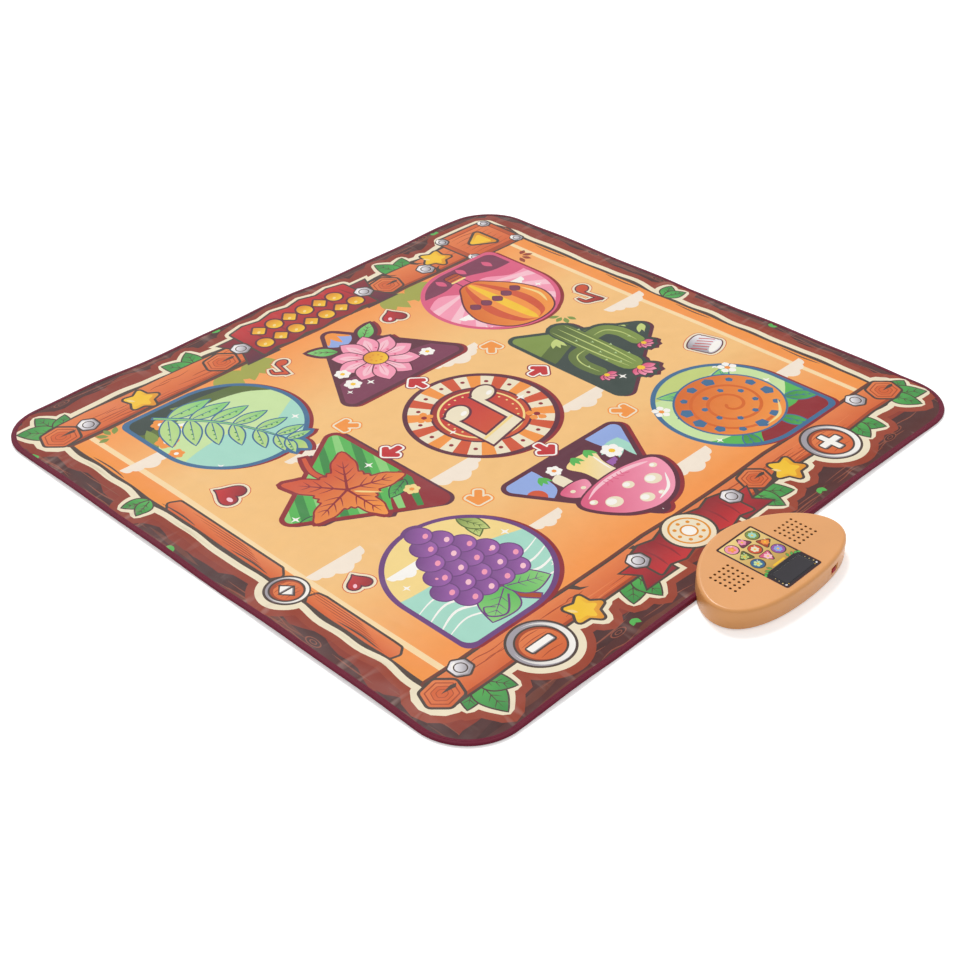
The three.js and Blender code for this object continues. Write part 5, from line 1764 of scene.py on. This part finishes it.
def egg(inset=0.0, steps=36):
    """The sound box's outline in the mat's frame, moved in by an inset."""
    half_x, half_y = (BOX_HIGH - BOX_LOW)[:2] / 2
    waist = bpy.context.scene.sound_box.waist / MM
    t = np.linspace(0, 1, steps, endpoint=False)[:, None]
    curves = []
    for end, (along, across) in ((half_y, REAR_BULGE), (-half_y, FRONT_BULGE)):
        a, b, c, d = np.array([(half_x, -waist), (half_x, along * end), (across * half_x, end), (0, end)])
        made = (1 - t) ** 3 * a + 3 * (1 - t) ** 2 * t * b + 3 * (1 - t) * t**2 * c + t**3 * d
        curves.append(np.vstack([made, d]))
    rear, front = curves
    mirror = np.array((-1, 1))
    outline = np.vstack([rear[:-1], (rear * mirror)[::-1][:-1], (front * mirror)[:-1], front[::-1][:-1]])
    return (grown(outline, -inset) if inset else outline) + BOX_MIDDLE[:2]


FLOOR_SIZE, FLOOR_DROP = 12, 0.0004
SUN_WIDTH = radians(18)
SUN_TURN = (radians(-30), radians(18), 0)
FAR = 50


def white_floor(colour):
    """The floor, a little under the mat's lowest face."""
    floor = added(bpy.ops.mesh.primitive_plane_add, size=FLOOR_SIZE, location=(0, 0, -FLOOR_DROP))
    floor.name = "floor"
    f = Finish("floor", 1.0, Specular_IOR_Level=0.0)
    f.link(f.spread(f.seen_directly(), 0, 0.4), f.shader.inputs["Emission Strength"])
    f.shader.inputs["Emission Color"].default_value = (1, 1, 1, 1)
    f.shader.inputs["Base Color"].default_value = (*colour, 1)
    use(floor, f.done())


class DANCE_OT_stage(bpy.types.Operator):
    """Sets the camera, the lights, the world and the pale floor"""

    bl_idname = "dance.stage"
    bl_label = "Stage"

    def execute(self, context):
        s = context.scene.dance_stage
        flat = cos(s.elevation)
        back = Vector((sin(s.azimuth) * flat, -cos(s.azimuth) * flat, sin(s.elevation)))
        right = (-back).cross(Vector((0, 0, 1))).normalized()
        up = right.cross(-back)
        c, k = cos(s.roll), sin(s.roll)
        turn = Matrix((c * right + k * up, -k * right + c * up, back)).transposed()
        camera = shown("camera", bpy.data.cameras.new("camera"))
        camera.matrix_world = Matrix.Translation(Vector(s.target) + back * s.distance) @ turn.to_4x4()
        camera.data.lens = s.lens
        camera.data.clip_end = FAR
        context.scene.camera = camera
        sun = shown("sun", bpy.data.lights.new("sun", "SUN"))
        sun.data.energy = s.key
        sun.data.angle = SUN_WIDTH
        sun.rotation_euler = SUN_TURN
        world = bpy.data.worlds.new("surround")
        context.scene.world = world
        world.use_nodes = True
        nodes = Nodes(world.node_tree)
        background = world.node_tree.nodes["Background"]
        background.inputs["Color"].default_value = (1, 1, 1, 1)
        nodes.link(nodes.spread(nodes.seen_directly(), s.surround, 1.0), background.inputs["Strength"])
        white_floor(s.floor)
        context.scene.view_settings.view_transform = "Standard"
        return {"FINISHED"}


def bend(patch, body, outline, slope):
    """Bakes a patch's place into its mesh and reads its points."""
    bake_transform(patch)
    place = np.zeros(len(patch.data.vertices) * 3)
    patch.data.vertices.foreach_get("co", place)


class DANCE_OT_cover(bpy.types.Operator):
    """Makes the printed cover, and the thirteen patches of it that are pressed down"""

    bl_idname = "dance.cover"
    bl_label = "Printed cover"

    def execute(self, context):
        settings = context.scene.dance_mat
        cell = settings.cell / MM
        drawing = paint_mat()
        zones = {name: pad_outline(name) for name in PADS}
        slopes = [grown(outline, -inset) for outline in zones.values() for inset in SLOPE_LINES]
        clips = {id(clip): clip for *_, clip in drawing.shapes if clip is not None}
        lines = [*zones.values(), *slopes, *clips.values(), *(shape[0] for shape in drawing.shapes)]
        points, faces, middles = divided(sheet_edge(), boss_holes(), lines, cell)
        look = coloured(drawing, middles)
        material = print_finish("printed_laminate", 0.42, True)

        def piece(name, picked, bottom, top, under_cell=0.0):
            own = [values[picked] for values in look]
            obj = sheet_mesh(name, points, faces[picked], bottom, top, own, under_cell=under_cell)
            obj.data.materials.append(material)
            return obj, flat_area(points, faces[picked])

        taken = np.zeros(len(faces), bool)
        for name, outline in zones.items():
            picked = inside(middles, outline) & ~taken
            taken |= picked
            low, high = span(name)
            patch, area = piece(f"{name}_print", picked, low[2], high[2])
            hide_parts(name)
            bend(patch, name, outline, settings.press_slope / MM)
        field, area = piece("printed_cover_sheet", ~taken, COVER_LOW[2], COVER_HIGH[2], 2 * cell)
        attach(field, ROOT)
        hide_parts("printed_cover")
        return {"FINISHED"}


# How far the grip dots keep in from the sheet's edge and off the sound box
DOT_MARGIN, DOT_OFF_BOX = 22, 6
DOT_BEVEL = 0.3


def grip_dots(settings):
    """The small dots under the base, in two staggered grids that keep clear of the sound box."""
    pitch = settings.dot_pitch / MM
    cylinder = bpy.ops.mesh.primitive_cylinder_add
    model = added(cylinder, vertices=10, radius=settings.dot_radius, depth=BASE_BOTTOM * MM)
    rounded_edge(model, -BASE_BOTTOM / 2, DOT_BEVEL, 1)
    half = COVER_HIGH[:2] - DOT_MARGIN
    across, along = (int(reach // pitch) for reach in half)
    places = [(i * pitch, j * pitch) for i in range(-across, across + 1) for j in range(-along, along + 1)]
    shift = [(x + pitch / 2, y + pitch / 2) for x, y in places if x < half[0] - pitch and y < half[1] - pitch]
    places = np.array(places + shift)
    edge = rounded(corners_of(-half, half), 60, 12)
    places = places[inside(places, grown(edge, 2)) & ~inside(places, egg(-DOT_OFF_BOX))]
    spots = rows(places, BASE_BOTTOM / 2 + lift(places)) * MM
    return repeated("grip_dots", model, [Matrix.Translation(spot) for spot in spots])


def layer(node, name, material, slot, holes):
    """One of the mat's inner sheets, and its flat area."""
    low, high = span(node)
    bottom = BASE_BOTTOM if node == "nonslip_base" else low[2]
    top = high[2] - (FILM_GAP if node == "upper_circuit_film" else 0)
    points, faces, _ = divided(sheet_edge(), holes, [], bpy.context.scene.dance_mat.cell / MM)
    obj = sheet_mesh(name, points, faces, bottom, top)
    use(obj, material)
    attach(obj, ROOT)
    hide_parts(node)
    return obj, flat_area(points, faces)


class DANCE_OT_layers(bpy.types.Operator):
    """Makes the foam, the two circuit films and the anti-slip base with its grip dots"""

    bl_idname = "dance.layers"
    bl_label = "Inner layers and base"

    def execute(self, context):
        settings = context.scene.dance_mat
        zones = [grown(pad_outline(name), HOLE_PLAY) for name in PADS]
        films = film_finish("circuit_film")
        layers = {
            "upper_circuit_film": (films, "circuit_film", zones),
            "spacer_foam": (foam_finish("spacer_foam"), "spacer_foam", zones),
            "lower_circuit_film": (films, "circuit_film", []),
        }
        for node, (material, slot, holes) in layers.items():
            made, area = layer(node, f"{node}_sheet", material, slot, holes + boss_holes())
        cloth = cloth_finish("base_cloth", settings.base, 0.0016, 0.85)
        base, area = layer("nonslip_base", "nonslip_base_sheet", cloth, "base_sheet", [egg(-CLEARANCE)])
        dots = grip_dots(settings)
        use(dots, rubber_finish("grip_dots", tinted(settings.base, 0.8)))
        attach(dots, ROOT)
        return {"FINISHED"}


BINDING_REACH = 7.0
TAPE_STEPS = 1300
# The rows of the tape's section where the stitches run, on top and underneath
UPPER_SEAM, LOWER_SEAM = 4, 16


def tape_ends():
    """Where the tape ends, left and right of the sound box."""
    points = np.array([v.co for v in NODES["edge_binding"].data.vertices]) / MM
    front = points[points[:, 1] < MAT_LOW[1] + 1][:, 0]
    return front[front < BOX_MIDDLE[0]].max(), front[front > BOX_MIDDLE[0]].min()


def tape_path():
    """The mat's edge, from the tape's end at the sound box's right side round to its left."""
    left, right = tape_ends()
    half = MAT_HIGH[:2]
    edge = rounded(corners_of(-half, half), MAT_CORNER, 24)
    return even(np.vstack([[(right, -half[1])], edge, [(left, -half[1])]]), TAPE_STEPS, closed=False)


def tape_section(seam):
    """The tape's outside, from its upper inner edge round to the lower one, as reach and height."""
    top, lip, low = COVER_HIGH[2], BINDING_REACH, BASE_BOTTOM
    upper = [
        (lip, 0), (lip, 0.5), (lip - 0.3, 0.68), (lip - 1.1, 0.6), (seam, 0.34), (seam - 1.2, 0.66),
        (seam - 2.0, 0.7), (1.9, 0.46), (1.0, -0.2), (0.3, -1.2), (0, -2.4),
    ]
    lower = [
        (0, 1.8), (0.3, 0.6), (1.0, -0.3), (2.2, -0.65), (seam - 2, -0.7), (seam, -0.42), (lip - 0.8, -0.66),
        (lip, -0.4), (lip, 0),
    ]
    return np.vstack([np.array(upper) + (0, top), np.array(lower) + (0, low)])


def binding_tape(path, inward, run, outside, settings):
    """The tape, puckered along its stitches, and with a UV map along it."""
    section = np.vstack([outside, [(1.2, BASE_BOTTOM), (1.2, COVER_HIGH[2])]])
    count, rings = len(section), len(path)
    puff = settings.pucker / MM
    quick = np.sin(run * 2 * PI / (settings.stitch_pitch / MM * 2)) * 0.5
    quick += np.sin(run / 2.9 + 2 * np.sin(run / 37))
    slow = np.sin(run / 31) + np.sin(run / 53 + 1)
    swell, push = np.zeros(count), np.zeros(count)
    swell[5:8] = (0.8, 1, 0.6)
    swell[14:16] = (0.2, 0.2)
    push[8:14] = (0.2, 0.6, 1, 1, 0.6, 0.2)
    reach = section[:, 0] - np.outer(0.25 * puff * quick + 0.35 * puff * slow, push)
    height = section[:, 1] + np.outer(puff * (0.45 * quick + 0.3 * slow), swell)
    flat = (path[:, None] + inward[:, None] * reach[..., None]).reshape(-1, 2)
    faces = []
    for i in range(rings - 1):
        for j in range(count):
            a, b = i * count + j, i * count + (j + 1) % count
            faces.append((a, a + count, b + count, b))
    faces += [tuple(range(count)), tuple(range(rings * count - 1, (rings - 1) * count - 1, -1))]
    tape = solid("binding_tape", rows(flat, laid(flat, height.ravel())) * MM, faces, 70)
    corner = np.zeros(len(tape.data.loops), np.int64)
    tape.data.loops.foreach_get("vertex_index", corner)
    values = rows(run[corner // count], run_along(section)[corner % count]) * MM
    tape.data.uv_layers.new(name="along").data.foreach_set("uv", values.astype(np.float32).ravel())
    activate(tape)
    bpy.ops.object.mode_set(mode="EDIT")
    faced_outwards()
    return tape


def stitch_model(pitch):
    """One stitch: a thread that dives into the cloth at both ends."""
    cylinder = bpy.ops.mesh.primitive_cylinder_add
    model = added(cylinder, vertices=6, radius=0.3 * MM, depth=0.68 * pitch * MM, rotation=(0, PI / 2, 0))
    end = 0.34 * pitch
    for level in (-end, end):
        pick(model, "FACE", lambda p, at=level: abs(p[0] - at) < 1e-3)
        extruded(copysign(0.25, level) * MM, 0, -0.12 * MM)
        bpy.ops.transform.resize(value=(1, 0.45, 0.45))
        leave()
    return model


def binding_stitches(path, inward, run, outside, seam, pitch):
    """A row of stitches on the tape and one under it."""
    at = np.arange(2, run[-1] - 2, pitch)
    x, y = (np.interp(at, run, path[:, i] + inward[:, i] * seam) for i in (0, 1))
    side = rows(*(np.interp(at, run, inward[:, i]) for i in (0, 1)))
    places = []
    for height, flip in ((outside[UPPER_SEAM, 1] + 0.14, 0), (outside[LOWER_SEAM, 1] - 0.1, PI)):
        spots = rows(x, y, laid(rows(x, y), height)) * MM
        for spot, way in zip(spots, side):
            turn = Matrix.Rotation(atan2(-way[0], way[1]) + 0.06, 4, "Z")
            places.append(Matrix.Translation(spot) @ turn @ Matrix.Rotation(flip, 4, "X"))
    return repeated("binding_stitches", stitch_model(pitch), places)


class DANCE_OT_binding(bpy.types.Operator):
    """Makes the bias tape round the mat's edge and its two rows of stitches"""

    bl_idname = "dance.binding"
    bl_label = "Binding"

    def execute(self, context):
        settings = context.scene.dance_mat
        seam = BINDING_REACH - settings.stitch_inset / MM
        path, outside = tape_path(), tape_section(seam)
        inward, run = sideways(path), run_along(path)
        tape = binding_tape(path, inward, run, outside, settings)
        use(tape, cloth_finish("bias_tape", settings.binding, 0.0009, 0.62, uv=True))
        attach(tape, ROOT)
        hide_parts("edge_binding")
        stitches = binding_stitches(path, inward, run, outside, seam, settings.stitch_pitch / MM)
        use(stitches, cloth_finish("thread", settings.thread, 0.0004, 0.55))
        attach(stitches, ROOT)
        return {"FINISHED"}


def switch_frame():
    """The place of the switch slot's middle on the wall, with +X along its travel."""
    joint = next(j for j in frame["joints"] if j["name"] == "power_switch_slide")
    along = Vector(joint["axis"]).normalized()
    travel = joint["range_m"][1]
    knob = Vector(middle("power_switch_knob") * MM) + along * travel / 2
    into = Vector((0, 0, 1)).cross(along)
    points = [Vector(v.co) for v in NODES["power_switch_knob"].data.vertices]
    outer = min((p - knob).dot(into) for p in points)
    place = knob + into * (outer + 1.2 * MM)
    turn = Matrix((along, into, Vector((0, 0, 1)))).transposed().to_4x4()
    return Matrix.Translation(place) @ turn, travel


def lid(name, outline, bottom, top, radius):
    """A block with a round upper edge and a narrow flat strip inside it."""
    obj = raised(name, outline, bottom, top)
    rounded_edge(obj, top, radius, 7)
    pick(obj, "FACE", lambda p: abs(p[2] - top) < 1e-3)
    bpy.ops.mesh.inset(thickness=0.6 * MM)
    leave()
    return obj


def block(low, high):
    low, high = np.array(low, float) * MM, np.array(high, float) * MM
    return added(
        bpy.ops.mesh.primitive_cube_add, size=1, location=tuple((low + high) / 2), scale=tuple(high - low)
    )


def pegs(s, top):
    """The pegs that cut the grille holes, each with a flared head."""
    radius, flare = s.hole_radius, s.hole_flare
    model = added(bpy.ops.mesh.primitive_cylinder_add, vertices=20, radius=radius, depth=6 * MM)
    pick(model, "FACE", lambda p: abs(p[2] - 3) < 1e-3)
    extruded(0, 0, flare)
    grow = (radius + flare) / radius
    bpy.ops.transform.resize(value=(grow, grow, 1))
    extruded(0, 0, 1 * MM)
    leave()
    places = []
    for name in SPEAKERS:
        x, y = middle(name)[:2] * MM
        for i in range(GRILLE_COLUMNS):
            for j in range(GRILLE_ROWS):
                across, along = i - (GRILLE_COLUMNS - 1) / 2, j - (GRILLE_ROWS - 1) / 2
                at = (x + across * s.hole_pitch_x, y + along * s.hole_pitch_y, top * MM - 3 * MM - flare)
                places.append(Matrix.Translation(at))
    return repeated("pegs", model, places)


def switch_tool(wide, tall, deep, middle_in):
    """A block that cuts the wall where the switch slides, its middle so far inwards."""
    tool = added(bpy.ops.mesh.primitive_cube_add, size=1)
    place = switch_frame()[0] @ Matrix.Translation((0, middle_in, 0))
    tool.matrix_world = place @ Matrix.Diagonal((wide, deep, tall, 1))
    return settled(tool)


SPEAKERS = ("speaker_cone_left", "speaker_cone_right")
GRILLE_RADIUS = 26
GRILLE_COLUMNS, GRILLE_ROWS = 5, 6
# The cuts for the mat and its tape: how far they reach to a side and backwards, and where they start
CUT_REACH, MAT_CUT, TAPE_CUT = 140, 60, 9.6
BELOW = -5


class DANCE_OT_housing(bpy.types.Operator):
    """Models the sound box's upper housing with its grilles, label recess, window and switch recess"""

    bl_idname = "dance.housing"
    bl_label = "Upper housing"

    def execute(self, context):
        s = context.scene.sound_box
        bottom, top = BOX_LOW[2], BOX_HIGH[2]
        wall, radius = s.wall / MM, s.edge_radius / MM
        shell = lid("upper_housing_shell", egg(), bottom, top, radius)
        rounded_edge(shell, bottom, 0.4, 2)
        cut(shell, lid("cavity", egg(wall), bottom - 3, top - wall, radius - wall))
        edge_y = MAT_LOW[1] - CLEARANCE
        mat_top, tape_top = COVER_HIGH[2] + CLEARANCE, MAT_HIGH[2] + 2 * CLEARANCE
        cut(shell, block((-CUT_REACH, edge_y, BELOW), (CUT_REACH, edge_y + MAT_CUT, mat_top)))
        left, right = tape_ends()
        for x0, x1 in ((right + CLEARANCE, CUT_REACH), (-CUT_REACH - 20, left - CLEARANCE)):
            cut(shell, block((x0, edge_y, BELOW), (x1, edge_y + TAPE_CUT, tape_top)))
        low, high = span("label_panel")
        recess = bar(*((low + high) / 2)[:2], *(high - low)[:2] + 2 * CLEARANCE, 0, 3)
        cut(shell, raised("label_recess", recess, low[2], top + 1))
        low, high = span("display_lens")
        lens, half = ((low + high) / 2)[:2], ((high - low)[:2] + 2 * CLEARANCE) / 2
        cut(shell, block((*(lens - half), low[2]), (*(lens + half), top + 1)))
        cut(shell, block((*(lens - half + 2), 18), (*(lens + half - 2), top)))
        for name in SPEAKERS:
            outline = ring(*middle(name)[:2], GRILLE_RADIUS)
            cut(shell, raised("thin_grille", outline, top - wall - 1, top - 1.1))
        cut(shell, pegs(s, top))
        cut(shell, switch_tool(s.slot_length, s.slot_height, 8 * MM, 2 * MM))
        border = 2 * s.slot_border
        wide, tall = s.slot_length + border, s.slot_height + border
        cut(shell, switch_tool(wide, tall, 4 * MM, s.slot_recess - 2 * MM))
        smooth(shell, 30)
        use(shell, moulded_finish("housing_plastic", s.housing, 0.36, 0.05, 0.12))
        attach(shell, ROOT)
        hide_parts("upper_housing")
        return {"FINISHED"}


KNOB_SIZE = (6.5, 2.4, 4.4)
RIDGE_COUNT, RIDGE_PITCH, RIDGE_RADIUS, RIDGE_LENGTH = 4, 1.25, 0.36, 3.2


class DANCE_OT_knob(bpy.types.Operator):
    """Models the power switch's knob: a soft-edged block with grip ridges"""

    bl_idname = "dance.knob"
    bl_label = "Switch knob"

    def execute(self, context):
        place, travel = switch_frame()
        body = added(bpy.ops.mesh.primitive_cube_add, size=1, scale=[side * MM for side in KNOB_SIZE])
        body.name = body.data.name = "power_switch_knob_ridged"
        pick(body, "EDGE", lambda p: p[1] < 0)
        bpy.ops.mesh.bevel(offset=0.45 * MM, segments=3, affect="EDGES")
        leave()
        cylinder = bpy.ops.mesh.primitive_cylinder_add
        radius, depth = RIDGE_RADIUS * MM, RIDGE_LENGTH * MM
        for k in range(RIDGE_COUNT):
            at = ((k - (RIDGE_COUNT - 1) / 2) * RIDGE_PITCH * MM, -KNOB_SIZE[1] / 2 * MM, 0)
            cut(body, added(cylinder, vertices=16, radius=radius, depth=depth, location=at), "UNION")
        body.matrix_world = place @ Matrix.Translation((-travel / 2, 0, 0))
        settled(body)
        smooth(body, 35)
        use(body, moulded_finish("knob_plastic", context.scene.sound_box.knob, 0.4, 0.1))
        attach(body, "power_switch")
        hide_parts("power_switch_knob")
        return {"FINISHED"}


LABEL_ICONS = (
    ("pink", "orange"), ("maroon_light", "pink"), ("olive", "mint"),
    ("olive_dark", "lime"), ("brick", "cream"), ("wood_dark", "orange"),
    ("blue", "pale_green"), ("rose", "pink_light"), ("purple", "sky"),
)


def paint_label(low, high, window):
    """The label's print: nine small icons over the display's dark surround."""
    x, y = (low + high)[:2] / 2
    width, tall = (high - low)[:2]
    d = Drawing("label_frame", 0.5)
    d.fill(bar(x, y, width + 2, tall + 2), "label_frame")
    d.fill(bar(x, y, width - 4.6, tall - 4.6, 0, 1.6), "label_dark")
    split = window[1][1] + 5.5
    upper = (y + tall / 2 - 2.3 - split, (y + tall / 2 - 2.3 + split) / 2)
    d.fill(bar(x, upper[1], width - 4.6, upper[0], 0, 1.2), "ochre", ("sand", (x, split), (x, y + tall / 2)))
    for k in range(9):
        tone, mark = LABEL_ICONS[k]
        at_x, at_y = x + (k % 3 - 1) * 18.6, upper[1] + 3.5 + (1 - k // 3) * 17.6
        if k % 2:
            turn = (0, 0, 0, PI / 2, 0, -PI / 2, 0, PI, 0)[k]
            shape = rounded(turned([(8.6, -6.6), (0, 8.4), (-8.6, -6.6)], turn), 1.4, 4) + (at_x, at_y)
        else:
            shape = ring(at_x, at_y, 7.6, count=36)
        d.fill(grown(shape, 1.1) + (0.3, -0.3), "ink")
        d.fill(shape, tone)
        d.flower(at_x, at_y, 5.2, mark, "gold", 5 + k % 3)
        d.fill(star(at_x + 4.4, at_y + 4, 1.3, 0.4, 4), "white")
    d.fill(bar(x, split + 2.4, 20, 2.6, 0, 1.1), "gold")
    for side in (-1, 1):
        for k in range(4):
            foot = (x + side * (15 + 4.2 * k), split + 0.4 - 0.5 * k)
            shade = ("olive", foot, (foot[0], foot[1] + 6))
            d.inked(leaf(*foot, 6.4, 3, -side * (0.5 + 0.5 * k)), "leaf", shade, 0.35)
        for k in range(3):
            at = x + side * (28.2 - 0.6 * k), window[0][1] + 4 + 5.2 * k
            d.fill(ring(*at, 0.8 - 0.15 * k, count=10), "sand")
        d.inked(bar(x + side * 27.5, y - tall / 2 + 4.6, 2.6, 2, side * 0.5, 0.4), "metal", None, 0.4)
        d.fill(star(x + side * 24, y - tall / 2 + 4.2, 1.1, 0.45), "gold")
    return d


class DANCE_OT_label(bpy.types.Operator):
    """Makes the printed label panel round the display"""

    bl_idname = "dance.label"
    bl_label = "Label panel"

    def execute(self, context):
        low, high = span("label_panel")
        window = span("display_lens")
        drawing = paint_label(low, high, window)
        edge = bar(*((low + high)[:2] / 2), *(high - low)[:2], 0, 2.7)
        hole = bar(*((window[0] + window[1])[:2] / 2), *((window[1] - window[0])[:2] + 2 * CLEARANCE), 0, 0.6)
        points, faces, middles = divided(edge, [hole], [shape[0] for shape in drawing.shapes], 6)
        look = coloured(drawing, middles)
        obj = sheet_mesh("label_panel_print", points, faces, low[2], high[2], look, flat_height)
        use(obj, print_finish("label_print", 0.24, False))
        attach(obj, ROOT)
        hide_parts("label_panel")
        return {"FINISHED"}


class DANCE_OT_fittings(bpy.types.Operator):
    """Finishes the CAD pieces that are shown as they are"""

    bl_idname = "dance.fittings"
    bl_label = "Fittings"

    def execute(self, context):
        s = context.scene.sound_box
        steel = metal_finish("zinc_steel", linear("#B9BBBE"), 0.3)
        black = moulded_finish("black_plastic", linear("#1B1B1D"), 0.5, 0.15)
        housing = moulded_finish("lower_housing_plastic", tinted(s.housing, 0.97), 0.42, 0.1)
        # By how a node's name starts, and the first that fits is used
        finishes = {
            "lower_housing": housing,
            "housing_screw": steel,
            "board_screw": steel,
            "battery_door_screw": steel,
            "battery_door": housing,
            "battery_contact": steel,
            "battery_": jacket_finish("cell_jacket"),
            "rubber_foot": rubber_finish("foot_rubber", linear("#222224")),
            "speaker_basket": metal_finish("basket_steel", linear("#8F9297"), 0.4, True),
            "speaker_cone": paper_finish("speaker_paper"),
            "display_lens": lens_finish("smoked_lens"),
            "digit_display": moulded_finish("white_plastic", linear("#EDEBE4"), 0.5, 0.1),
            "circuit_board": board_finish("circuit_board"),
            "sound_chip": black,
            "cable_connector": moulded_finish("connector_plastic", linear("#E4E0D2"), 0.5, 0.1),
            "flat_cable": film_finish("cable_film"),
            "power_switch_case": black,
        }
        for name, node in NODES.items():
            if node.hide_render:
                continue
            fitting = [finish for start, finish in finishes.items() if name.startswith(start)]
            if not fitting:
                raise RuntimeError(f"no finish for {name}")
            use(node, fitting[0])
        return {"FINISHED"}


class DANCE_PT_panel(bpy.types.Panel):
    """Lists the mat's sizes, colours and building steps"""

    bl_idname = "DANCE_PT_panel"
    bl_label = "Dance Mat"
    bl_space_type = "VIEW_3D"
    bl_region_type = "UI"
    bl_category = "Dance Mat"

    def draw(self, context):
        for group in (context.scene.dance_stage, context.scene.dance_mat, context.scene.sound_box):
            column = self.layout.column()
            for name in group.__annotations__:
                column.prop(group, name)
        for operator in OPERATORS:
            self.layout.operator(operator.bl_idname)


GROUPS = {"dance_mat": MatSettings, "sound_box": BoxSettings, "dance_stage": StageSettings}
OPERATORS = (
    DANCE_OT_stage,
    DANCE_OT_cover,
    DANCE_OT_layers,
    DANCE_OT_binding,
    DANCE_OT_housing,
    DANCE_OT_knob,
    DANCE_OT_label,
    DANCE_OT_fittings,
)


def register():
    for cls in (*GROUPS.values(), *OPERATORS, DANCE_PT_panel):
        bpy.utils.register_class(cls)
    for name, group in GROUPS.items():
        setattr(bpy.types.Scene, name, bpy.props.PointerProperty(type=group))


def unregister():
    for name in GROUPS:
        delattr(bpy.types.Scene, name)
    for cls in reversed((*GROUPS.values(), *OPERATORS, DANCE_PT_panel)):
        bpy.utils.unregister_class(cls)


def main():
    register()
    bpy.ops.dance.stage()
    bpy.ops.dance.layers()
    bpy.ops.dance.cover()
    bpy.ops.dance.binding()
    bpy.ops.dance.housing()
    bpy.ops.dance.knob()
    bpy.ops.dance.label()
    bpy.ops.dance.fittings()
    deselect()


if __name__ == "__main__":
    main()
